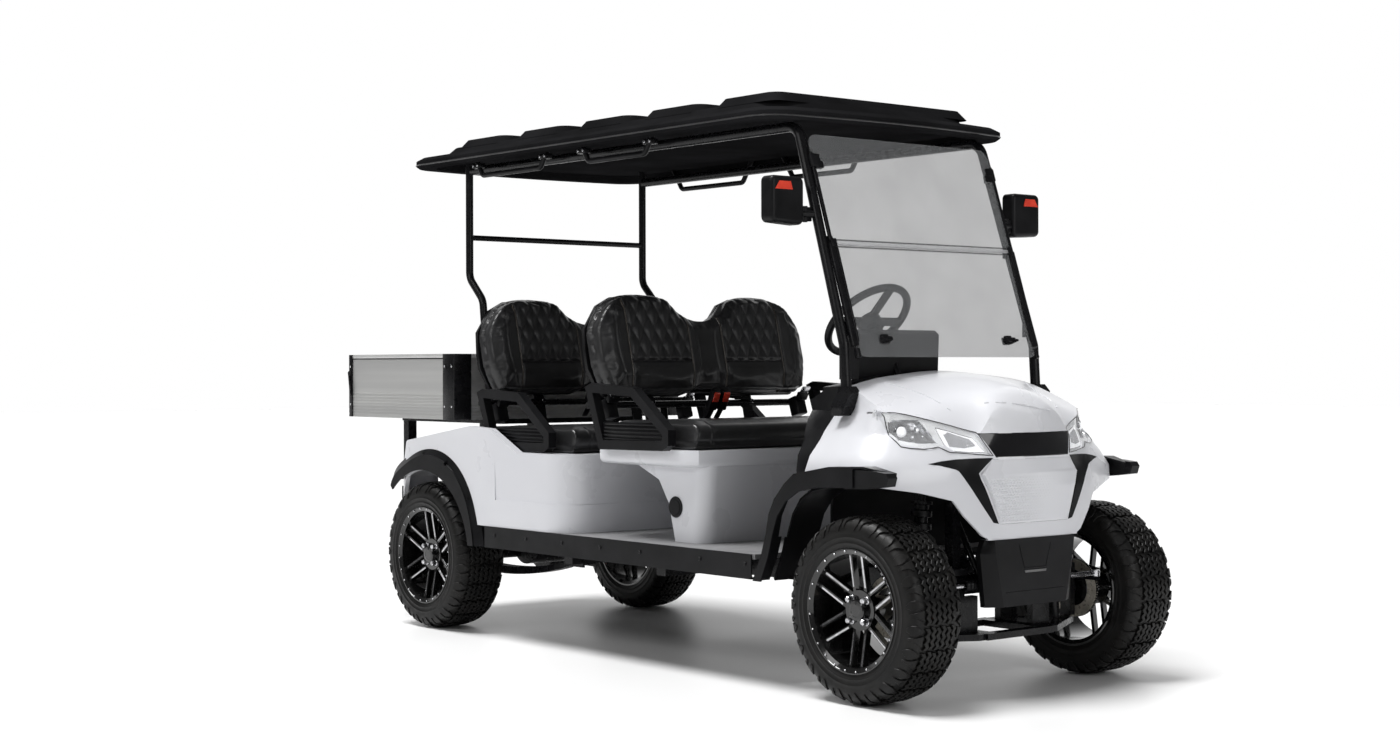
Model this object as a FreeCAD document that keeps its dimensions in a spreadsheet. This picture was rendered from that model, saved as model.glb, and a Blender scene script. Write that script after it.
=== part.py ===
import FreeCAD, Part
import Sketcher
import math
import operator
import os
from FreeCAD import Vector

# A four-seat golf cart with a cargo box. Millimetres, the vehicle faces -Y, +X is its left side, +Z is up.
# Lengths along the vehicle are measured from the front axle, and centre_shift then moves every piece
# back so that the frame's origin lies on the ground under the middle of the vehicle.

doc = FreeCAD.newDocument("GolfCart")

sizes = {
    # the stance
    "wheelbase": 2459,
    "wheel_plane": 505,
    "tyre_radius": 290,
    "box_rear": 3121,
    # tyre section
    "tyre_half_width": 106,
    "bead_radius": 180.3,
    "flange_radius": 193,
    "flange_half_width": 101,
    "flange_thick": 7,
    "shoulder_drop": 12,
    "lug_depth": 11,
    "lug_count": 20,
    "seat_gap": 0.3,
    # alloy wheel
    "barrel_wall": 6,
    "hub_radius": 62,
    "hub_face": 62,
    "hub_back": 36,
    "cap_radius": 34,
    "cap_face": 79,
    "sleeve_radius": 40,
    "spoke_spread": 24,
    "spoke_width": 12,
    "spoke_depth": 20,
    "spoke_rise": 20,
    "axle_pin_radius": 12,
    "pin_gap": 0.5,
    "pin_reach": 50,
    "disc_radius": 98.5,
    "disc_face": 76,
    "disc_thick": 10,
    "drum_radius": 92,
    "drum_face": 68,
    # steering knuckle
    "kingpin_plane": 400,
    "knuckle_width": 44,
    "knuckle_depth": 26,
    "knuckle_half_height": 88,
    "kingpin_radius": 8,
    "running_gap": 5,
    "arm_eye_radius": 18,
    "arm_thick": 20,
    "arm_leg": 20,
    "lower_arm_base": 165,
    "lower_arm_spread": 130,
    "upper_arm_base": 268,
    "upper_arm_spread": 105,
    "steering_arm": 130,
    "steering_arm_height": 352,
    "steering_arm_thick": 14,
    "caliper_length": 110,
    "caliper_depth": 40,
    "caliper_wall": 16,
    # coil-over dampers
    "coil_radius": 33,
    "coil_wire": 6,
    "coil_turns": 7,
    "damper_foot_plane": 330,
    "damper_top_plane": 291,
    "damper_top": 650,
    "damper_radius": 20,
    "damper_rod_radius": 9,
    # steering rack and tie rod
    "rack_radius": 20,
    "rack_half_length": 165,
    "bellows_end": 245,
    "bellows_radius": 19,
    "tie_rod_radius": 8,
    "tie_rod_end": 386,
    "tie_rod_end_radius": 15,
    "tie_rod_end_height": 20,
    # steering column and wheel
    "column_plane": -160,
    "wheel_centre_y": 382,
    "wheel_centre_z": 1189,
    "column_tilt": 45,
    "column_radius": 24,
    "column_drop": 130,
    "shaft_radius": 10,
    "steering_wheel_radius": 150,
    "steering_rim_radius": 13,
    "steering_hub_radius": 42,
    "steering_hub_depth": 40,
    "steering_spoke_width": 30,
    "steering_spoke_thick": 10,
    # chassis frame
    "rail_inner": 200,
    "rail_width": 50,
    "rail_low": 310,
    "rail_top": 380,
    "rail_front": -92,
    "rail_kick_start": 2045,
    "rail_kick_end": 2185,
    "rail_kick_step": 30,
    "rail_rear": 3060,
    "rear_rail_low": 470,
    "rear_rail_top": 530,
    "subframe_low": 176,
    "subframe_thick": 26,
    "tower_width": 34,
    # deck and skirts
    "deck_low": 413,
    "deck_thick": 17,
    "deck_half_width": 590,
    "deck_neck_half_width": 392,
    "deck_front": 318,
    "deck_shoulder": 462,
    "deck_rear": 2030,
    "skirt_plane": 600,
    "skirt_thick": 5,
    "skirt_low": 349,
    "skirt_front": 470,
    "skirt_rear": 2028,
    "skirt_lip": 30,
    # front moulding, rear of the hood to the tip of the nose
    "cowl_half_width": 565,
    "cowl_nose": 212,
    "cowl_tail": 430,
    "cowl_low": 490,
    "cowl_high": 1030,
    "cowl_wall": 6,
    "panel_gap": 2,
    "hood_rear": 226,
    # front bumper
    "bumper_low": 285,
    "bumper_high": 496,
    "bumper_front": 208,
    "bumper_back": 156,
    "bumper_top_half": 188,
    "bumper_wing_half": 219,
    "bumper_low_half": 146,
    "bumper_rake": 22,
    "bumper_wall": 6,
    # fender flares
    "flare_plane": 604,
    "flare_inner": 536,
    "flare_wall": 6,
    "liner_inner": 398,
    "liner_thick": 6,
    # dashboard
    "dash_half_width": 392,
    "dash_front": 238,
    "dash_back": 352,
    "dash_top": 1008,
    "dash_skin": 14,
    "dash_shelf_low": 890,
    "dash_knee": 318,
    "pod_left": 38,
    "pod_right": -327,
    "pod_top": 1156,
    "pod_depth": 96,
    "pedal_width": 60,
    "pedal_height": 90,
    "pedal_thick": 12,
    # pillars, hoop and handles
    "pillar_plane": 448,
    "pillar_head_plane": 432,
    "pillar_radius": 17,
    "pillar_foot_y": 178,
    "pillar_foot_low": 880,
    "pillar_foot_high": 955,
    "boot_half": 20,
    "pillar_bend_y": 192,
    "pillar_bend_z": 1105,
    "pillar_head_y": 434,
    "canopy_under": 1846,
    "bend_radius": 60,
    "hoop_plane": 437,
    "hoop_radius": 15,
    "hoop_y": 2378,
    "hoop_kink_z": 1393,
    "hoop_shoulder_y": 2283,
    "hoop_shoulder_z": 1303,
    "hoop_foot_y": 2222,
    "hoop_foot_z": 785,
    "hoop_bar_z": 1555,
    "hoop_bar_radius": 11,
    "handle_plane": 500,
    "handle_radius": 10,
    "handle_drop": 52,
    "handle_slant": 34,
    "front_handle_start": 1117,
    "front_handle_end": 1520,
    "rear_handle_start": 1756,
    "rear_handle_end": 2219,
    # windscreen
    "screen_half_width": 424,
    "screen_low": 1066,
    "screen_split": 1432,
    "screen_high": 1792,
    "screen_thick": 5,
    "screen_lead": 24,
    "screen_corner": 36,
    "clip_width": 22,
    "clip_height": 46,
    # roof
    "roof_half_width": 575,
    "roof_front": 392,
    "roof_rear": 2642,
    "roof_low": 1838,
    "roof_rim_high": 1880,
    "roof_crown": 1918,
    "roof_rib_high": 1944,
    "roof_skin": 12,
    "roof_rim_width": 58,
    "roof_corner": 120,
    "roof_crown_inset": 70,
    "roof_rib_length": 330,
    "roof_rib_gap": 70,
    "roof_rib_half_width": 468,
    "roof_rib_count": 5,
    "roof_rib_slope": 22,
    "roof_crown_slope": 44,
    "roof_bow": 34,
    "roof_edge": 14,
    "roof_rail_start": 520,
    # mirrors
    "mirror_plane": 565,
    "mirror_y": 350,
    "mirror_z": 1566,
    "mirror_width": 140,
    "mirror_height": 156,
    "mirror_depth": 52,
    "mirror_corner": 20,
    "mirror_arm_z": 1526,
    "mirror_arm_thick": 24,
    # seats
    "seat_pitch": 710,
    "cushion_half_width": 512,
    "cushion_front": 878,
    "cushion_rear": 1392,
    "cushion_thick": 94,
    "cushion_round": 36,
    "back_half_width": 511,
    "back_low": 949,
    "back_high": 1329,
    "back_face_y": 1376,
    "back_thick": 78,
    "back_tilt": 13.6,
    "shell_thick": 16,
    "seat_post_plane": 240,
    "seat_post_width": 44,
    "seat_post_thick": 10,
    "seat_bar_radius": 13,
    "armrest_thick": 34,
    "armrest_bar": 34,
    "armrest_drop": 8,
    # front seat base
    "base_half_width": 480,
    "base_front": 862,
    "base_toe": 1010,
    "base_corner": 60,
    "tray_low": 690,
    "tray_high": 750,
    "tray_half_width": 522,
    "tray_front": 836,
    "tray_rear": 1436,
    "tray_corner": 90,
    # rear body
    "rear_half_width": 596,
    "rear_front": 1496,
    "rear_tail": 2735,
    "rear_well_half_width": 564,
    "rear_well_end": 2164,
    "rear_seat_top": 716,
    "rear_fender_top": 770,
    "rear_corner": 130,
    "rear_wall": 8,
    "rear_bay_half_width": 372,
    "crease_low": 533,
    "crease_high": 690,
    "crease_rear": 1962,
    "crease_depth": 5,
    "arch_radius": 338,
    "rear_flare_radius": 440,
    "rear_flare_plane": 614,
    "rear_flare_shoulder": 588,
    "rear_flare_band": 40,
    "flare_pocket_radius": 11,
    "flare_pocket_depth": 3,
    "rear_flare_inner": 540,
    "lamp_height": 60,
    "lamp_width": 90,
    "lamp_depth": 16,
    # cargo box
    "box_half_width": 560,
    "box_front": 2299,
    "box_low": 829,
    "box_high": 1090,
    "box_wall": 24,
    "box_floor": 20,
    "post_width": 80,
    "post_thick": 5,
    "gate_gap": 6,
    "gate_pin_radius": 5,
    "support_height": 20,
    "support_bar": 40,
    "support_plane": 300,
    # rear axle and springs
    "axle_radius": 36,
    "axle_tube_half": 418,
    "backing_radius": 96,
    "backing_thick": 8,
    "diff_radius": 92,
    "motor_radius": 92,
    "motor_length": 250,
    "motor_offset": 90,
    "spring_inner": 300,
    "spring_width": 50,
    "spring_thick": 16,
    "spring_front_y": 1770,
    "spring_rear_y": 3010,
    "spring_eye_z": 300,
    "spring_eye_radius": 22,
    "spring_rear_z": 372,
    "hanger_width": 10,
}

dims = doc.addObject("Spreadsheet::Sheet", "Dims")
for row, (alias, value) in enumerate(sizes.items(), start=1):
    dims.set(f"A{row}", alias)
    dims.set(f"B{row}", str(value))
    dims.setAlias(f"B{row}", alias)
doc.recompute()


# A size keeps its value with the text of its expression, so that one sum drives both.
class Size:
    def __init__(self, text, value):
        self.text = text
        self.value = value

    def __add__(self, other):
        return joined(self, other, "+", operator.add)

    def __radd__(self, other):
        return joined(other, self, "+", operator.add)

    def __sub__(self, other):
        return joined(self, other, "-", operator.sub)

    def __rsub__(self, other):
        return joined(other, self, "-", operator.sub)

    def __mul__(self, other):
        return joined(self, other, "*", operator.mul)

    def __rmul__(self, other):
        return joined(other, self, "*", operator.mul)

    def __truediv__(self, other):
        return joined(self, other, "/", operator.truediv)

    def __neg__(self):
        return Size(f"(-{self.text})", -self.value)

    def __float__(self):
        return self.value


def as_size(item):
    return item if isinstance(item, Size) else Size(f"({float(item)})", float(item))


def joined(first, second, sign, action):
    first, second = as_size(first), as_size(second)
    return Size(f"({first.text} {sign} {second.text})", action(first.value, second.value))


class Sizes:
    pass


d = Sizes()
for alias in sizes:
    setattr(d, alias, Size("Dims." + alias, float(dims.get(alias))))

centre_shift = (d.box_rear - d.tyre_radius) / -2
subparts = []


def bind(item, prop, size):
    item.setExpression(prop, as_size(size).text)


def finish(item, label, x=0, y=0, z=0):
    item.Label = label
    bind(item, "Placement.Base.x", x)
    bind(item, "Placement.Base.y", y + centre_shift)
    bind(item, "Placement.Base.z", z)
    subparts.append(item)
    return item


def new_body(label):
    body = doc.addObject("PartDesign::Body", label + "_body")
    body.AllowCompound = True
    return body


def draw_loop(drawing, points):
    start = drawing.GeometryCount
    corners = [Vector(float(across), float(up), 0) for across, up in points]
    count = len(corners)
    for index, corner in enumerate(corners):
        drawing.addGeometry(Part.LineSegment(corner, corners[(index + 1) % count]), False)
    for index in range(count):
        after = start + (index + 1) % count
        drawing.addConstraint(Sketcher.Constraint("Coincident", start + index, 2, after, 1))
    for index, point in enumerate(points):
        for kind, size in zip(("DistanceX", "DistanceY"), point):
            place = drawing.addConstraint(Sketcher.Constraint(kind, start + index, 1, float(size)))
            if isinstance(size, Size):
                drawing.setExpression(f"Constraints[{place}]", size.text)


def sketch(body, plane, loops, offset=0):
    drawing = body.newObject("Sketcher::SketchObject", plane + "_sketch")
    role = plane + "_Plane"
    support = next(item for item in body.Origin.OriginFeatures if item.Role == role)
    drawing.AttachmentSupport = (support, [""])
    drawing.MapMode = "FlatFace"
    bind(drawing, "AttachmentOffset.Base.z", offset)
    for points in loops:
        draw_loop(drawing, points)
    return drawing


# A pad runs from start to stop along the axis that its sketch plane faces.
def add_pad(body, plane, loops, start, stop, kind="Pad"):
    offset = -as_size(stop) if plane == "XZ" else as_size(start)
    drawing = sketch(body, plane, loops, offset)
    feature = body.newObject("PartDesign::" + kind, kind)
    feature.Profile = drawing
    bind(feature, "Length", as_size(stop) - start)
    if kind == "Pocket":
        feature.Reversed = True
    doc.recompute()
    return feature


def prism(label, plane, loops, start, stop):
    body = new_body(label)
    add_pad(body, plane, loops, start, stop)
    return body


# A turned form: its outline is drawn as (along the axle, out from the axle) and turns about X.
def add_turn(body, outline):
    drawing = sketch(body, "XZ", [outline])
    feature = body.newObject("PartDesign::Revolution", "Revolution")
    feature.Profile = drawing
    feature.ReferenceAxis = (drawing, ["H_Axis"])
    feature.Angle = 360
    doc.recompute()
    return feature


def edges_where(feature, test):
    return [f"Edge{number}" for number, edge in enumerate(feature.Shape.Edges, start=1) if test(edge)]


def runs_along(edge, axis):
    if not isinstance(edge.Curve, Part.Line):
        return False
    return abs(abs(edge.Curve.Direction.dot(axis)) - 1) < 1e-6


def round_off(body, test, radius, kind="Fillet"):
    tip = body.Tip
    feature = body.newObject("PartDesign::" + kind, kind)
    feature.Base = (tip, edges_where(tip, test))
    bind(feature, "Radius" if kind == "Fillet" else "Size", radius)
    doc.recompute()
    return feature


def box_body(label, low, high):
    item = doc.addObject("Part::Box", label + "_box")
    for side, axis, first, last in zip(("Length", "Width", "Height"), "xyz", low, high):
        bind(item, side, as_size(last) - first)
        bind(item, "Placement.Base." + axis, first)
    return item


def rod(label, radius, length, start, direction):
    item = doc.addObject("Part::Cylinder", label + "_rod")
    bind(item, "Radius", radius)
    bind(item, "Height", length)
    item.Placement.Rotation = FreeCAD.Rotation(Vector(0, 0, 1), direction)
    for axis, place in zip("xyz", start):
        bind(item, "Placement.Base." + axis, place)
    return item


def boolean(kind, label, items):
    result = doc.addObject("Part::" + kind, label + "_" + kind.lower())
    if kind in ("MultiFuse", "MultiCommon"):
        result.Shapes = items
    else:
        result.Base, result.Tool = items
    if hasattr(result, "Refine"):
        result.Refine = True
    return result


def fuse(label, items):
    return boolean("MultiFuse", label, items)


def cut(label, base, tool):
    return boolean("Cut", label, [base, tool])


def mirrored(item):
    result = doc.addObject("Part::Mirroring", item.Name + "_mirror")
    result.Source = item
    result.Normal = Vector(1, 0, 0)
    return result


def both_sides(label, item):
    result = doc.addObject("Part::Compound", label + "_pair")
    result.Links = [item, mirrored(item)]
    return result


def feature(label, shape):
    item = doc.addObject("Part::Feature", label + "_shape")
    item.Shape = shape
    return item


def vector(x, y, z):
    return Vector(float(x), float(y), float(z))


# Outlines given as half shapes, from the centre line outwards, are closed by their mirror image.
def closed_half(points):
    return points + [(-across, up) for across, up in reversed(points) if float(across) != 0]


# Tubes

def bent_wire(points, radius):
    edges = []
    last = points[0]
    for before, corner, after in zip(points, points[1:], points[2:]):
        toward = (before - corner).normalize()
        away = (after - corner).normalize()
        half_turn = (math.pi - toward.getAngle(away)) / 2
        trim = radius * math.tan(half_turn)
        first, final = corner + toward * trim, corner + away * trim
        inward = (toward + away).normalize()
        middle = corner + inward * (radius / math.cos(half_turn) - radius)
        edges.append(Part.LineSegment(last, first).toShape())
        edges.append(Part.Arc(first, middle, final).toShape())
        last = final
    edges.append(Part.LineSegment(last, points[-1]).toShape())
    return Part.Wire(edges)


def tube(points, radius, bend):
    path = bent_wire(points, float(bend))
    ring = Part.Wire([Part.Circle(points[0], points[1] - points[0], float(radius)).toShape()])
    return path.makePipeShell([ring], True, False)


# Wheels

# A tyre is a ring of flat facets. Along one pitch the section stands up to a lug, then dips into a groove:
# (share of the pitch, share of the lug's height)
lug_pitch_shares = [(0.0, 1.0), (0.56, 1.0), (0.78, 0.0)]


def tyre_section(lug_share):
    half, crown = float(d.tyre_half_width), float(d.tyre_radius)
    bead = float(d.flange_half_width - d.flange_thick - d.seat_gap)
    lip = float(d.flange_radius + d.seat_gap)
    sunk = (1 - lug_share) * float(d.lug_depth)
    right = [(bead, float(d.bead_radius)), (bead, lip), (float(d.flange_half_width), lip),
             (half, lip + 0.45 * (crown - lip)), (0.9 * half - 0.4 * sunk, crown - float(d.shoulder_drop) - sunk),
             (0.4 * half, crown)]
    return [(-across, out) for across, out in right] + right[::-1]


# A four-cornered face, or two triangles where its corners don't lie in one plane
def facets(corners):
    closed = Part.makePolygon(corners + corners[:1])
    normal = (corners[1] - corners[0]).cross(corners[2] - corners[0])
    if abs(normal.normalize().dot(corners[3] - corners[0])) < float(d.seat_gap) * 1e-6:
        return [Part.Face(closed)]
    halves = [corners[:3], [corners[0], corners[2], corners[3]]]
    return [Part.Face(Part.makePolygon(half + half[:1])) for half in halves]


def tyre_shape():
    pitch = 2 * math.pi / float(d.lug_count)
    lug_turn = lug_pitch_shares[1][0] * pitch
    spread = 1 / math.cos(lug_turn / 2)
    rings = []
    for lug in range(round(float(d.lug_count))):
        for turn_share, lug_share in lug_pitch_shares:
            angle = (lug + turn_share) * pitch - lug_turn / 2 - math.pi / 2
            rings.append([Vector(across, out * spread * math.cos(angle), out * spread * math.sin(angle))
                          for across, out in tyre_section(lug_share)])
    faces = []
    for ring, following in zip(rings, rings[1:] + rings[:1]):
        for row in range(len(ring)):
            after = (row + 1) % len(ring)
            faces += facets([ring[row], ring[after], following[after], following[row]])
    shell = Part.Shell(faces)
    shell.sewShape()
    solid = Part.Solid(shell)
    return solid if solid.Volume > 0 else solid.reversed()


tyre = tyre_shape()


def rim_outline():
    barrel = d.bead_radius - d.seat_gap
    seat = d.flange_half_width - d.flange_thick
    inner = barrel - d.barrel_wall
    mouth = d.flange_radius - d.barrel_wall
    right = [(seat, barrel), (seat, d.flange_radius), (d.flange_half_width, d.flange_radius),
             (d.flange_half_width, mouth), (seat, inner)]
    return [(-across, out) for across, out in right[::-1]] + right


# The hub takes the axle pin in a blind bore and carries the brake disc, or the drum of a rear wheel.
def hub_outline(is_front):
    bore = d.axle_pin_radius + d.pin_gap
    face = d.disc_face if is_front else d.drum_face
    edge = d.disc_radius if is_front else d.drum_radius
    depth = d.disc_thick if is_front else d.drum_face
    return [
        (-face, bore), (-face, edge), (depth - face, edge), (depth - face, d.sleeve_radius),
        (d.hub_back, d.sleeve_radius), (d.hub_back, d.hub_radius), (d.hub_face, d.hub_radius),
        (d.hub_face, d.cap_radius), (d.cap_face, d.cap_radius - 0.2 * d.cap_radius), (d.cap_face, 0),
        (d.pin_reach + d.running_gap, 0), (d.pin_reach + d.running_gap, bore),
    ]


# Twelve spokes stand in six pairs of parallel bars and dish in towards the hub.
def make_rim(label, x, y, is_front, is_left):
    body = new_body(label)
    add_turn(body, hub_outline(is_front))
    add_turn(body, rim_outline())
    root = 0.8 * d.hub_radius
    tip = d.bead_radius - 1.4 * d.barrel_wall
    front = d.hub_face - 0.06 * d.hub_face
    outline = [(front - d.spoke_depth, root), (front, root), (front + d.spoke_rise, tip),
               (front + d.spoke_rise - d.spoke_depth, tip)]
    half = d.spoke_width / 2
    spokes = [add_pad(body, "XZ", [outline], side * d.spoke_spread - half, side * d.spoke_spread + half)
              for side in (-1, 1)]
    pattern = body.newObject("PartDesign::PolarPattern", "PolarPattern")
    pattern.Originals = spokes
    axle = next(item for item in body.Origin.OriginFeatures if item.Role == "X_Axis")
    pattern.Axis = (axle, [""])
    pattern.Angle = 360
    pattern.Occurrences = 6
    body.Tip = pattern
    doc.recompute()
    body.Placement.Rotation = FreeCAD.Rotation(Vector(0, 0, 1), 0 if is_left else 180)
    finish(body, label, x, y, d.tyre_radius)


for end, y, is_front in (("front", 0, True), ("rear", d.wheelbase, False)):
    for side, x in (("right", -d.wheel_plane), ("left", d.wheel_plane)):
        finish(feature("tyre", tyre), f"tyre_{end}_{side}", x, y, d.tyre_radius)
        make_rim(f"rim_{end}_{side}", x, y, is_front, side == "left")


# Steering knuckles, drawn for the left side

def make_knuckle():
    axle_z = d.tyre_radius
    plane = d.kingpin_plane
    half = d.knuckle_depth / 2
    upright = box_body("upright", (plane - half, -d.knuckle_width / 2, axle_z - d.knuckle_half_height),
                       (plane + half - d.seat_gap * 10, d.knuckle_width / 2, axle_z + d.knuckle_half_height))
    reach = d.wheel_plane + d.pin_reach - plane
    pin = rod("axle_pin", d.axle_pin_radius, reach, (plane, 0, axle_z), Vector(1, 0, 0))
    king = rod("kingpin", d.kingpin_radius, 2 * (d.knuckle_half_height + d.arm_thick + d.running_gap),
               (plane, 0, axle_z - d.knuckle_half_height - d.arm_thick - d.running_gap), Vector(0, 0, 1))
    arm_low = d.steering_arm_height - d.tie_rod_end_height / 2 - d.steering_arm_thick - d.seat_gap
    arm = box_body("steering_arm", (plane - half, -d.steering_arm, arm_low),
                   (plane + half - d.seat_gap * 10, 0, arm_low + d.steering_arm_thick))
    # the caliper straddles the disc behind the axle
    disc_in = d.wheel_plane - d.disc_face
    low = (disc_in - d.running_gap - d.caliper_wall, d.disc_radius * 0.62, axle_z - d.caliper_length / 2)
    high = (disc_in + d.disc_thick + d.running_gap + d.caliper_wall, d.disc_radius * 0.62 + d.caliper_depth * 1.3,
            axle_z + d.caliper_length / 2)
    block = box_body("caliper", low, high)
    slot = box_body("disc_slot", (disc_in - d.running_gap, 0, axle_z - d.caliper_length),
                    (disc_in + d.disc_thick + d.running_gap, d.disc_radius + d.running_gap, axle_z + d.caliper_length))
    caliper = cut("caliper", block, slot)
    bracket = box_body("caliper_bracket", (plane - half, 0, axle_z - 0.2 * d.caliper_length),
                       (disc_in - d.running_gap, d.disc_radius * 0.62 + d.caliper_wall, axle_z + 0.2 * d.caliper_length))
    return fuse("knuckle", [upright, pin, king, arm, caliper, bracket])


knuckle = make_knuckle()
finish(knuckle, "knuckle_left")
other_knuckle = mirrored(knuckle)
other_knuckle.Label = "knuckle_right"
subparts.append(other_knuckle)


# Control arms: open forks whose tips hold the kingpin

def arm_outline(base, spread, nose_share):
    tip = d.kingpin_plane
    leg = d.arm_leg
    eye = d.arm_eye_radius
    nose = base + nose_share * (tip - base)
    return [(base - leg / 2, -spread - leg / 2), (base + leg, -spread - leg / 2), (tip, -eye), (tip + eye * 0.7, -eye * 0.7),
            (tip + eye, 0), (tip + eye * 0.7, eye * 0.7), (tip, eye), (base + leg, spread + leg / 2),
            (base - leg / 2, spread + leg / 2), (base - leg / 2, spread - leg / 2), (base, spread - leg / 2),
            (nose, 0.1 * spread), (nose, -0.1 * spread), (base, leg / 2 - spread), (base - leg / 2, leg / 2 - spread)]


def make_arm(label, base, spread, low, nose_share):
    plate = prism(label, "XY", [arm_outline(base, spread, nose_share)], low, low + d.arm_thick)
    hole = rod(label + "_eye", d.kingpin_radius + d.pin_gap, d.arm_thick * 3, (d.kingpin_plane, 0, low - d.arm_thick),
               Vector(0, 0, 1))
    return cut(label, plate, hole)


lower_low = d.tyre_radius - d.knuckle_half_height - d.running_gap - d.arm_thick
upper_low = d.tyre_radius + d.knuckle_half_height + d.running_gap
lower_arm = make_arm("lower_arm", d.lower_arm_base, d.lower_arm_spread, lower_low, 0.62)
upper_arm = make_arm("upper_arm", d.upper_arm_base, d.upper_arm_spread, upper_low, 0.78)
arm_group = doc.addObject("Part::Compound", "arm_group")
arm_group.Links = [lower_arm, mirrored(lower_arm), upper_arm, mirrored(upper_arm)]
finish(arm_group, "control_arms")


# Coil-over dampers: the coils are turned rings on the damper's own axis, which leans inwards

def coil_over_outline(length):
    foot = 0.28 * length
    pitch = (length * 0.9 - foot) / d.coil_turns
    outer, inner = d.coil_radius, d.coil_radius - 2 * d.coil_wire
    points = [(0, 0), (0, d.damper_radius), (foot - pitch / 2, d.damper_radius), (foot - pitch / 2, outer)]
    for turn in range(int(float(d.coil_turns))):
        start = foot + turn * pitch
        points += [(start, outer), (start + 0.45 * pitch, outer), (start + 0.55 * pitch, inner), (start + 0.9 * pitch, inner)]
    top = length * 0.9
    return points + [(top, outer), (top + 0.02 * length, outer), (top + 0.02 * length, d.damper_rod_radius), (length, d.damper_rod_radius),
                     (length, 0)]


foot_z = lower_low + d.arm_thick
lean = d.damper_foot_plane - d.damper_top_plane
rise = d.damper_top - foot_z
damper_length = Size(f"sqrt({lean.text} * {lean.text} + {rise.text} * {rise.text})", math.hypot(float(lean), float(rise)))
damper = new_body("damper")
foot_gap = d.seat_gap + d.damper_radius * lean / rise
add_turn(damper, coil_over_outline(damper_length - foot_gap - d.seat_gap - d.damper_rod_radius * lean / rise))
damper.Placement.Rotation = FreeCAD.Rotation(Vector(1, 0, 0), vector(-lean, 0, rise))
bind(damper, "Placement.Base.x", d.damper_foot_plane)
bind(damper, "Placement.Base.z", foot_z + foot_gap)
finish(both_sides("coil_over", damper), "coil_over_dampers")


# Steering rack, tie rod, column and wheel

def bellows_outline():
    start, end = d.rack_half_length, d.bellows_end
    bore = d.tie_rod_radius + d.running_gap
    folds = 5
    step = (end - start) / folds
    points = [(0, bore), (0, d.rack_radius), (start, d.rack_radius)]
    for fold in range(folds):
        points += [(start + (fold + 0.25) * step, d.bellows_radius), (start + (fold + 0.75) * step, bore + d.coil_wire / 2)]
    points += [(end, bore + d.coil_wire / 2), (end, bore)]
    return points


rack = new_body("rack")
add_turn(rack, bellows_outline())
rack.Placement.Base = vector(0, 0, 0)
rack_pair = fuse("rack", [rack, mirrored(rack)])
finish(rack_pair, "steering_rack", 0, -d.steering_arm, d.steering_arm_height)

tie_bar = rod("tie_bar", d.tie_rod_radius, 2 * d.tie_rod_end, (-d.tie_rod_end, -d.steering_arm, d.steering_arm_height),
              Vector(1, 0, 0))
tie_ends = [rod("tie_end", d.tie_rod_end_radius, d.tie_rod_end_height,
                (side * d.tie_rod_end, -d.steering_arm, d.steering_arm_height - d.tie_rod_end_height / 2), Vector(0, 0, 1))
            for side in (-1, 1)]
finish(fuse("tie_rod", [tie_bar] + tie_ends), "tie_rod")

tilt = math.radians(float(d.column_tilt))
column_axis = Vector(0, math.cos(tilt), math.sin(tilt))
wheel_centre = vector(d.column_plane, d.wheel_centre_y, d.wheel_centre_z)


def along_column(distance):
    return wheel_centre + column_axis * float(distance)


def column_parts(gap):
    low = along_column(-d.column_drop)
    pinion = vector(d.column_plane, -d.steering_arm, d.steering_arm_height)
    shroud = Part.makeCylinder(float(d.column_radius) + gap, float(d.column_drop - d.steering_hub_depth - d.running_gap), low,
                               column_axis)
    stub = Part.makeCylinder(float(d.shaft_radius) + gap, float(d.column_drop - d.steering_hub_depth - d.seat_gap), low, column_axis)
    reach = low - pinion
    shaft = Part.makeCylinder(float(d.shaft_radius) + gap, reach.Length, pinion, reach)
    joint = Part.makeSphere(float(d.column_radius) + gap, low)
    return shroud.fuse([stub, shaft, joint])


def make_column():
    rack_bore = Part.makeCylinder(float(d.rack_radius + d.seat_gap), float(4 * d.rack_radius),
                                  vector(d.column_plane - 2 * d.rack_radius, -d.steering_arm, d.steering_arm_height), Vector(1, 0, 0))
    solids = column_parts(0).cut(rack_bore).Solids
    return max(solids, key=lambda solid: solid.Volume)


finish(feature("column", make_column()), "steering_column")


def make_steering_wheel():
    place = FreeCAD.Placement(wheel_centre, FreeCAD.Rotation(Vector(0, 0, 1), column_axis))
    rim = Part.makeTorus(float(d.steering_wheel_radius), float(d.steering_rim_radius))
    depth = float(d.steering_hub_depth)
    pieces = [Part.makeCylinder(float(d.steering_hub_radius), depth, Vector(0, 0, -depth))]
    for angle in (0, 180, 270):
        spoke = Part.makeBox(float(d.steering_wheel_radius), float(d.steering_spoke_width), float(d.steering_spoke_thick),
                             vector(0, -d.steering_spoke_width / 2, -d.steering_spoke_thick))
        spoke.rotate(Vector(0, 0, 0), Vector(0, 0, 1), angle)
        pieces.append(spoke)
    for piece in [rim] + pieces:
        piece.Placement = place.multiply(piece.Placement)
    return rim.fuse(pieces).removeSplitter()


finish(feature("steering_wheel", make_steering_wheel()), "steering_wheel")


# Chassis frame

def rail_outline():
    return [(d.rail_front, d.rail_low), (d.rail_kick_start, d.rail_low), (d.rail_kick_end, d.rear_rail_low),
            (d.rail_rear, d.rear_rail_low), (d.rail_rear, d.rear_rail_top), (d.rail_kick_end - d.rail_kick_step, d.rear_rail_top),
            (d.rail_kick_start - d.rail_kick_step, d.rail_top), (d.rail_front, d.rail_top)]


def make_frame():
    inner, outer = d.rail_inner, d.rail_inner + d.rail_width
    rails = doc.addObject("Part::Compound", "rail_group")
    rails.Links = [prism("rail", "YZ", [rail_outline()], first, last) for first, last in ((inner, outer), (-outer, -inner))]
    return rails


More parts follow.
